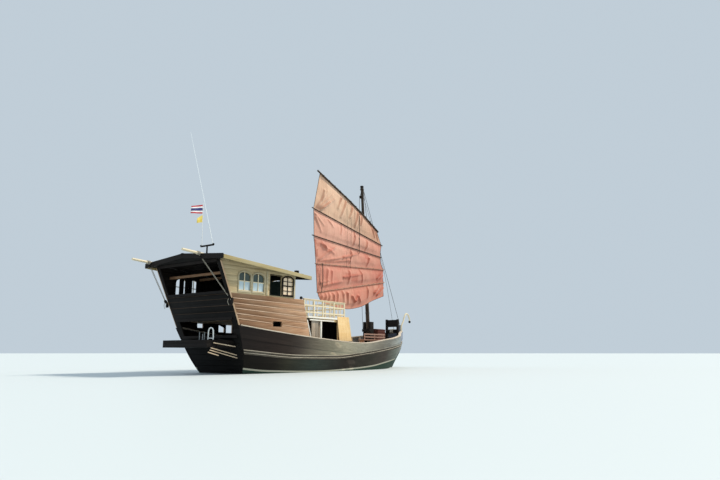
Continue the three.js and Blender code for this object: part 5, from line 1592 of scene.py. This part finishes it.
def sailcloth():
    """Dyed cotton: a colour for each panel, faded upwards, with seams, stains and a fine weave."""
    made, tree, shader = finish("dyed_sailcloth", 0.92)
    height = node(tree, "ShaderNodeAttribute", attribute_name="extra").outputs["Fac"]
    mark = node(tree, "ShaderNodeAttribute", attribute_name="tone").outputs["Fac"]
    lie = node(tree, "ShaderNodeUVMap", uv_map="Grain").outputs["UV"]
    share = node(tree, "ShaderNodeMath", {0: height, 1: 1 / PANELS}, operation="MULTIPLY")
    steps = [(0.0, PANEL_COLOURS[0])]
    for k, (below, above) in enumerate(zip(PANEL_COLOURS, PANEL_COLOURS[1:]), 1):
        steps += [(k / PANELS - 0.004, below), (k / PANELS + 0.004, above)]
    ramp = node(tree, "ShaderNodeValToRGB", {"Fac": share.outputs[0]}, [*steps, (1.0, PANEL_COLOURS[-1])])
    blot = node(tree, "ShaderNodeTexNoise", {"Vector": lie, "Scale": 0.9, "Detail": 6.0, "Roughness": 0.6})
    fade = node(tree, "ShaderNodeMapRange",
                {"Value": blot.outputs["Fac"], "From Min": 0.35, "From Max": 0.7, "To Max": 0.55})
    faded = node(tree, "ShaderNodeMix", {"Factor": fade.outputs[0], "A": ramp.outputs["Color"],
                                         "B": linear("#d6ab93")}, data_type="RGBA")
    drip = node(tree, "ShaderNodeMapping", {"Vector": lie, "Scale": (6.0, 0.7, 1.0)})
    runs = node(tree, "ShaderNodeTexNoise",
                {"Vector": drip.outputs[0], "Scale": 1.0, "Detail": 5.0, "Roughness": 0.7})
    stain = node(tree, "ShaderNodeMapRange",
                 {"Value": runs.outputs["Fac"], "From Min": 0.52, "From Max": 0.78, "To Max": 0.5})
    stained = node(tree, "ShaderNodeMix", {"Factor": stain.outputs[0], "A": faded.outputs[2],
                                           "B": linear("#9d5942")}, data_type="RGBA")
    split = node(tree, "ShaderNodeSeparateXYZ", {"Vector": lie})
    width = node(tree, "ShaderNodeMath", {0: split.outputs["X"], 1: CLOTH_WIDTH}, operation="MODULO")
    seam = node(tree, "ShaderNodeMath", {0: width.outputs[0], 1: SEAM_WIDTH}, operation="LESS_THAN")
    thin = node(tree, "ShaderNodeMath", {0: seam.outputs[0], 1: 0.16}, operation="MULTIPLY")
    sewn = node(tree, "ShaderNodeMix", {"Factor": thin.outputs[0], "A": stained.outputs[2],
                                        "B": linear("#9c5a45")}, data_type="RGBA")
    # Darker by the tone: patches and marks, towards the fore edge, and painted shade beside the folds.
    patches_and_shade = node(tree, "ShaderNodeMapRange", {"Value": mark, "From Min": -0.2, "From Max": 0.5})
    dark = node(tree, "ShaderNodeValToRGB", {"Fac": patches_and_shade.outputs[0]},
                [(0.0, "#ffffff"), (0.29, "#f2f1f0"), (0.57, "#e2c9c1"), (1.0, "#cd9c8d")])
    final = node(tree, "ShaderNodeMix", {"Factor": 1.0, "A": sewn.outputs[2], "B": dark.outputs[0]},
                 **TINT)
    tree.links.new(final.outputs[2], shader.inputs["Base Color"])
    weave = node(tree, "ShaderNodeTexNoise",
                 {"Vector": lie, "Scale": THREADS_A_METRE, "Detail": 3.0})
    slack = node(tree, "ShaderNodeTexNoise", {"Vector": drip.outputs[0], "Scale": 2.3, "Detail": 4.0})
    joined = node(tree, "ShaderNodeMath", {0: weave.outputs["Fac"], 1: 0.12}, operation="MULTIPLY")
    relief = node(tree, "ShaderNodeMath", {0: joined.outputs[0], 1: slack.outputs["Fac"]}, operation="ADD")
    ridge = node(tree, "ShaderNodeMath", {0: relief.outputs[0], 1: seam.outputs[0]}, operation="ADD")
    bump = node(tree, "ShaderNodeBump", {"Height": ridge.outputs[0], "Strength": 0.35, "Distance": 0.02})
    tree.links.new(bump.outputs[0], shader.inputs["Normal"])
    shader.inputs["Sheen Weight"].default_value = 0.25
    return made


def darkness_mark(x, z):
    """How much darker the cloth is within each listed patch and mark than round it."""
    for x0, x1, z0, z1, dark in PATCHES_AND_MARKS:
        if x0 < x < x1 and z0 < z < z1:
            return dark
    return 0.0


def fold_shade(x, z, k):
    """Painted shade in the hollow just aft of each fold."""
    return 0.30 * min(sum(fold(x + 0.075, z, *line) for line in FOLDS[k]), 1.0)


# %% Sail mesh
CLOTH_REACH, SIDE_SHADE, EVEN_SHARE = -0.40, 0.38, 0.45


def sheet_faces(wide, tall):
    """Faces of a closed sheet: two layers of a grid, wide steps by tall, and the rim between them."""
    row, count = wide + 1, (wide + 1) * (tall + 1)
    faces = []
    for a in [i * row + j for i in range(tall) for j in range(wide)]:
        faces.append((a, a + 1, a + row + 1, a + row))
        faces.append((count + a, count + a + row, count + a + row + 1, count + a + 1))
    rim = [*range(wide), *[i * row + wide for i in range(tall)],
           *[tall * row + j for j in range(wide, 0, -1)], *[i * row for i in range(tall, 0, -1)]]
    return faces + [(a, count + a, count + b, b) for a, b in zip(rim, [*rim[1:], rim[0]])]


def sail_mesh():
    points, heights, marks = [], [], []
    for layer in (-1, 1):
        for i in range(SAIL_ROWS + 1):
            v = PANELS * i / SAIL_ROWS
            for j in range(SAIL_COLUMNS + 1):
                s = j / SAIL_COLUMNS
                x, z = sail_point(s, v)
                y = SAIL_MID_Y - cloth_depth(s, v) + layer * CLOTH / 2
                points.append(at(x - AMIDSHIPS, max(y, CLOTH_REACH), z))
                heights.append(v)
                # The tone sums patches and marks, the darkening towards the fore edge, and painted shade aft
                # of each fold.
                marks.append(darkness_mark(x, z) + SIDE_SHADE * (s - EVEN_SHARE)
                             + fold_shade(x, z, min(int(v), PANELS - 1)))
    faces = sheet_faces(SAIL_COLUMNS, SAIL_ROWS)
    mesh = bpy.data.meshes.new("sail_sheet")
    mesh.from_pydata(points, [], faces)
    grain = mesh.uv_layers.new(name="Grain")
    values = [(points[v].x, points[v].z) for face in faces for v in face]
    grain.data.foreach_set("uv", np.array(values, np.float32).ravel())
    keep_number(mesh, "tone", marks)
    keep_number(mesh, "extra", heights)
    return mesh


sail = settle(sail_mesh(), "sail_sheet", sailcloth(), "sail", "sail_cloth", "sailcloth", angle=60)
OUTLINE = [*FOOT, *FORE_EDGE[1:], *HEAD[::-1][1:], *AFT_EDGE[::-1][1:]]
SAIL_AREA = 0.5 * abs(sum(a[0] * b[1] - b[0] * a[1] for a, b in zip(OUTLINE, [*OUTLINE[1:], FOOT[0]])))
print("sail area", round(SAIL_AREA, 1), "m2")

# %% [markdown]
# ## Spars and ties of the sail
# The yard is one dark spar, and the battens are thinner poles on the sail's starboard face. A bolt rope
# runs round the cloth's edge, and short lashings hold the cloth to each spar. Lifts hang down the
# sail's face from the yard, and sheet spans down its aft edge. Each could be a bevelled
# curve, but a Pile makes them one mesh that swings with the sail.

# %% Yard, battens and lashings
BATTEN_Y, YARD_Y = -0.2283, -0.242
BATTEN_RUNS = [(5.30, 8.01, 11.82, 7.03), (5.34, 6.60, 11.71, 6.31), (5.61, 5.20, 11.99, 5.62),
               (5.77, 3.77, 11.99, 4.87)]
YARD_PATH = [(5.69, 10.05), (7.12, 9.545), (8.59, 9.015), (9.98, 8.43), (11.34, 7.78)]
BAMBOO = timber("reddish_bamboo", "#7a4f40", "#a5755f", "#c69a84", "#cbb09e", 0.3, 0.3, 0.5)
dress("yard", "yard_spar", SPAR, ease=0)
for k in (1, 2, 3, 4):
    dress(f"batten_{k}", f"batten_pole_{k}", SPAR if k < 3 else BAMBOO, ease=0)
lashings, ties = Pile(), Pile()
TIES = 11
for x0, z0, x1, z1 in BATTEN_RUNS:
    for k in range(1, TIES):
        x, z = x0 + (x1 - x0) * k / TIES, z0 + (z1 - z0) * k / TIES
        ring_round(ties, at(x, BATTEN_Y, z), (x1 - x0, 0, z1 - z0), 0.031, 0.007, 10)
for k in range(1, 12):
    x, z = on_line(YARD_PATH, k / 12)
    x2, z2 = on_line(YARD_PATH, k / 12 + 0.01)
    for shift in (-0.012, 0.012):
        ring_round(lashings, at(x + shift, YARD_Y, z), (x2 - x, 0, z2 - z), 0.052, 0.008, 12)
ties.piece("batten_ties", HEMP, "rope", "sail")
lashings.piece("yard_lashings", DARK_ROPE, "rope", "sail")

# %% Bolt rope, lifts and sheet spans
edge = Pile()
leech = [sail_point(0, v) for v in np.linspace(0, PANELS, 46)]
luff = [sail_point(1, v) for v in np.linspace(0, PANELS, 46)]
foot = [sail_point(s, 0) for s in np.linspace(0, 1, 40)]
for path, size in ((leech, 0.011), (luff, 0.014), (foot, 0.010)):
    edge.sweep([at(x, SAIL_MID_Y, z) for x, z in path], round_section(size, 6), (0, 1, 0))
edge.piece("bolt_rope", DARK_ROPE, "rope", "sail")
# Each lift as x, its top, its foot and its radius.
LIFTS = [(9.34, 8.66, 6.20, 0.017), (8.90, 8.88, 6.66, 0.006), (8.54, 9.02, 5.30, 0.008),
         (8.18, 9.14, 5.28, 0.006)]
lifts = Pile()
for x, top, low, radius in LIFTS:
    lifts.rope([at(x, -0.30, top), at(x + 0.01, -0.315, (top + low) / 2), at(x + 0.02, -0.275, low)], radius)
lifts.piece("sail_lifts", DARK_ROPE, "rope", "sail")
sheets = Pile()
sheets.rope([at(6.10, -0.29, 5.26), at(6.08, -0.34, 4.3), at(6.02, -0.33, 3.78)], 0.013)
sheets.rope([at(6.16, -0.29, 5.24), at(6.13, -0.35, 4.5), at(6.05, -0.31, 3.80)], 0.008)
for k in (1, 2, 3):
    x0, z0, x1, z1 = BATTEN_RUNS[k]
    sheets.rope([at(x0 + 0.06, BATTEN_Y - 0.03, z0), at(x0 + 0.03, BATTEN_Y - 0.09, z0 - 0.22),
                 at(6.07, -0.31, 3.86)], 0.006)
sheets.piece("sheet_spans", DARK_ROPE, "rope", "sail")

# %% [markdown]
# ## The foredeck
# Forward of the mast stands a companion hatch under a red cambered lid, and aft of it a slatted bench
# along the starboard side. A bent plane could be the lid, but boards laid one by one over its camber
# keep their seams. They open with the hatch's body.

# %% Bench and hatch
SLAT_RED = timber("reddish_slats", "#80594a", "#a58271", "#bd9d8d", "#bda99c", 0.3, 0.2)
dress("bench", "bench_slats", SLAT_RED, ease=0.006)
LID_RED = timber("red_lid_boards", "#3a1d18", "#5a3029", "#75463c", "#8a675c", 0.2, 0.25, 0.6)
dress("hatch_coaming", "hatch_boards", LID_RED, ease=0.010, seams=seams_at(2, (1.58, 1.74, 1.90)))
LID_X, LID_HALF, LID_Z, LID_CAMBER = (10.98, 11.77), 0.44, 2.0815, 0.045
lid = Pile()
for k in range(8):
    edges = [-LID_HALF + 2 * LID_HALF * (k + e) / 8 for e in (0.01, 0.99)]
    tops = [LID_Z + 0.030 + LID_CAMBER * (1 - (y / LID_HALF) ** 2) for y in edges]
    lid.loft([[at(x, edges[0], LID_Z), at(x, edges[1], LID_Z), at(x, edges[1], tops[1]),
               at(x, edges[0], tops[0])] for x in LID_X])
lid.piece("hatch_lid_boards", LID_RED, "reddish_planking", "hatch", "hatch_lid")

# %% [markdown]
# ## The bow
# A windlass stands between two tall bitts, its drum made of staves round a core. The
# anchor rope's turns on it are closed rings, where a helix would look the same and cost more lines.
# A curved beam hangs over the stem, with a turned ball at its end.

# %% Windlass and bow beam
DRUM_X, DRUM_Z, DRUM_R, DRUM_HALF = 13.20, 2.08, 0.110, 0.32
dress("windlass_bitts", "windlass_bitts_worn", STAINED, along=2, ease=0.014)
drum, turns = Pile(), Pile()
drum.rod(at(DRUM_X, -DRUM_HALF, DRUM_Z), at(DRUM_X, DRUM_HALF, DRUM_Z), DRUM_R - 0.022, sides=16)
for k in range(10):
    a = math.tau * k / 10
    out = at(math.cos(a), 0, math.sin(a))
    spot = at(DRUM_X, 0, DRUM_Z) + out * (DRUM_R - 0.014)
    half = at(0, DRUM_HALF - 0.01, 0)
    drum.board(spot - half, spot + half, 0.046, 0.022, out)
for k in range(9):
    ring_round(turns, at(DRUM_X, -0.10 + 0.026 * k, DRUM_Z), (0, 1, 0.0001), DRUM_R + 0.008, 0.0125, 24)
drum.piece("windlass_staves", STAINED, "dark_timber", "windlass", "windlass_drum")
turns.piece("windlass_rope", HEMP, "rope", "windlass")
dress("bow_davit", "bow_beam", CREAM, ease=0)


BALL_RINGS, BALL_SIDES = 9, 16


def ball(pile, centre, radius):
    """A turned ball, as rings stacked from its foot to its head."""
    made = []
    for k in range(BALL_RINGS):
        a = math.pi * (k + 0.5) / BALL_RINGS - math.pi / 2
        middle = at(0, 0, radius * math.sin(a))
        made.append([Vector(centre) + at(math.cos(t), math.sin(t), 0) * (radius * math.cos(a)) + middle
                     for t in turns_of(BALL_SIDES)])
    pile.loft(made, tone=0.4)


end_ball = Pile()
ball(end_ball, (14.925, -0.19, 2.70), 0.075)
end_ball.piece("bow_beam_ball", STAINED, "dark_timber")

# %% [markdown]
# ## Below the waterline
# Keel, stern gear and rudder are seldom seen, but are dressed like the rest: green bottom paint, a
# bronze propeller and a wooden rudder. A screw's pitch is one number from hub to tip, so each blade
# is a loft of nine ovals whose angle follows from it.

# %% Keel, stem and rudder
def painted_by_height(made):
    """Keeps each point's height over the boot stripe with a dressed piece, for the paint."""
    keep_number(made.data, "extra", [over_boot(v.co.x + AMIDSHIPS, v.co.z) for v in made.data.vertices])


BOTTOM = timber("green_bottom_paint", "#22332b", BOTTOM_PAINT, "#395044", "#4b5d50", 0.25, 0.15, 0.7,
                0.2, 0.7)
painted_by_height(dress("keel", "keel_timber", HULL_PAINT, ease=0.012))
painted_by_height(dress("stem_post", "stem_timber", HULL_PAINT, along=2, ease=0.012))
dress("rudder", "rudder_boards", BOTTOM, along=2, ease=0.008,
      seams=seams_at(0, (0.10, 0.32)))

# %% Propeller
# Cast bronze, filed and not polished, gives broad yellow highlights.
BRONZE = plain("cast_bronze", "#a8793a", 0.34, 0.9)
PROP_X, PROP_Z, PROP_PITCH = 0.98, -0.82, 0.26
screw = Pile()
screw.sweep([at(x, 0, PROP_Z) for x in (0.85, 0.875, 0.93, 1.19)], round_section(0.045, 18), tone=0.5,
            scales=[0.25, 0.75, 1.0, 0.86])
for blade in range(3):
    turn = Matrix.Rotation(math.tau * blade / 3, 3, "X")
    rings = []
    for k in range(9):
        r = 0.036 + 0.178 * k / 8
        wide = 0.072 * math.sin(math.pi * min(0.22 + 0.70 * k / 8, 0.97)) + 0.006
        twist = math.atan2(PROP_PITCH, math.tau * r)
        run = at(math.sin(twist), math.cos(twist), 0)
        face = at(math.cos(twist), -math.sin(twist), 0)
        ring = [at(0, 0, r) + run * (wide * math.cos(t)) + face * (0.0065 * math.sin(t))
                for t in turns_of(12)]
        rings.append([turn @ p + at(PROP_X, 0, PROP_Z) for p in ring])
    screw.loft(rings, tone=0.5)
screw.piece("propeller_screw", BRONZE, "bronze", "propeller", "propeller")

# %% [markdown]
# ## The helm
# The wheel is seen only through the gallery and the windows, so its solid needs no more than wood and
# eased edges. A bronze cap on its hub turns with it.

# %% Helm
dress("helm_pedestal", "helm_pedestal_boards", STAINED, along=2, ease=0.008,
      seams=seams_at(1, (-0.04, 0.04)))
dress("helm_wheel", "helm_wheel_turned", DOOR_PANEL, ease=0.004)
boss = Pile()
boss.rod(at(0.918, 0, 3.13), at(0.926, 0, 3.13), 0.045, sides=20)
boss.piece("helm_boss_cap", BRONZE, "bronze", "helm")

# %% [markdown]
# ## On the roof
# A short post with a crossbar carries a whip aerial and a flagpole, all dressed solids. Only their
# knobs and the lamp at the roof's fore edge are added.

# %% Post, aerial and lamp
dress("roof_post", "roof_post_turned", STAINED, along=1, ease=0.004)
dress("aerial", "whip_aerial", plain("white_aerial", "#eef4f6", 0.4), ease=0)
dress("flagpole", "flagpole_tube", WHITE_GLOSS, ease=0)
gear, shade = Pile(), Pile()
for y in (-0.38, 0.38):
    ball(gear, (-1.03, y, 5.135), 0.042)
gear.piece("crossbar_knobs", STAINED, "dark_timber")
LAMP_X, LAMP_Y = 2.42, -1.90
foot_z = roof_top(LAMP_X, LAMP_Y) + 0.022
shade.box((LAMP_X - 0.22, LAMP_Y - 0.14, foot_z), (LAMP_X + 0.22, LAMP_Y + 0.14, foot_z + 0.05))
shade.rod(at(LAMP_X - 0.08, LAMP_Y, foot_z + 0.04), at(LAMP_X - 0.08, LAMP_Y, foot_z + 0.17), 0.10, sides=18)
ball(shade, (2.40, -2.13, 3.13), 0.065)
shade.piece("roof_lamp_and_knob", STAINED, "dark_timber")

# %% [markdown]
# ## Flag and pennant
# Bunting is thin woven wool, held only along the pole, so a sine wave that grows towards its
# free end is enough, with no simulation. Two layers 1.6 mm apart make a closed
# sheet, by the sail's own function. Its threads, 1 mm apart, are drawn at 6 mm.

# %% Flag and pennant
BUNTING_THREADS, BUNTING_HALF = 160.0, 0.0008
STRIPES = ["#b3202c", "#e9e9ec", "#2b3470", "#2b3470", "#e9e9ec", "#b3202c"]


def bunting(name, colours):
    """Woven cloth in stripes, by the share of the height that is kept with each point."""
    made, tree, shader = finish(name, 0.85)
    high = node(tree, "ShaderNodeAttribute", attribute_name="extra").outputs["Fac"]
    steps = []
    for k, colour in enumerate(colours):
        steps += [(k / len(colours) + 0.002, colour), ((k + 1) / len(colours) - 0.002, colour)]
    cloth = node(tree, "ShaderNodeValToRGB", {"Fac": high}, steps)
    lie = node(tree, "ShaderNodeTexCoord").outputs["Object"]
    weave = node(tree, "ShaderNodeTexNoise", {"Vector": lie, "Scale": BUNTING_THREADS, "Detail": 2.0})
    thread = node(tree, "ShaderNodeMapRange", {"Value": weave.outputs["Fac"], "To Min": 0.82, "To Max": 1.12})
    final = node(tree, "ShaderNodeMix", {"Factor": 1.0, "A": cloth.outputs[0], "B": thread.outputs[0]},
                 **TINT)
    tree.links.new(final.outputs[2], shader.inputs["Base Color"])
    return made


def flying_cloth(name, material, corner, along, up, wave, replaces=()):
    """A sheet held at its hoist, where up(t) gives its two heights at a share t of its reach."""
    columns, rows = 36, 14
    points, shares = [], []
    for layer in (-BUNTING_HALF, BUNTING_HALF):
        for i in range(columns + 1):
            t = i / columns
            low, high = up(t)
            for j in range(rows + 1):
                f = j / rows
                y = wave * t ** 0.8 * math.sin(6.4 * t - 1.2 * f) + layer
                points.append(Vector(corner) + at(-along * t, y, low + (high - low) * f))
                shares.append(f)
    mesh = bpy.data.meshes.new(name)
    mesh.from_pydata([p - SHIFT for p in points], [], sheet_faces(rows, columns))
    keep_number(mesh, "extra", shares)
    return settle(mesh, name, material, "ship", replaces, "bunting", angle=80)


POLE_FOOT, POLE_RAKE = at(-1.03, 0.33, 5.14), 0.03


def hoist(z):
    return at(POLE_FOOT.x - POLE_RAKE * (z - POLE_FOOT.z) - 0.013, POLE_FOOT.y, z)


FLAG_LONG = 0.60
flag = flying_cloth("striped_flag", bunting("striped_bunting", STRIPES), hoist(6.675), FLAG_LONG,
                    lambda t: (-0.19 - 0.10 * t, 0.19 - 0.18 * t), 0.030, "flag")
PENNANT_LONG = 0.28
pennant = flying_cloth("yellow_pennant", bunting("yellow_bunting", ["#d8c25a", "#e2cf6c"]), hoist(6.27),
                       PENNANT_LONG, lambda t: (-0.15 - 0.08 * t, 0.16 - 0.20 * t), 0.015)

# %% [markdown]
# ## The size
# A visual may stand only a little proud of its solids, so both boxes are measured and kept.

low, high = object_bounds()
print("visual box", [round(c, 2) for c in low], [round(c, 2) for c in high])
{"cad": [list(cad_low), list(cad_high)], "visual": [list(low), list(high)]}
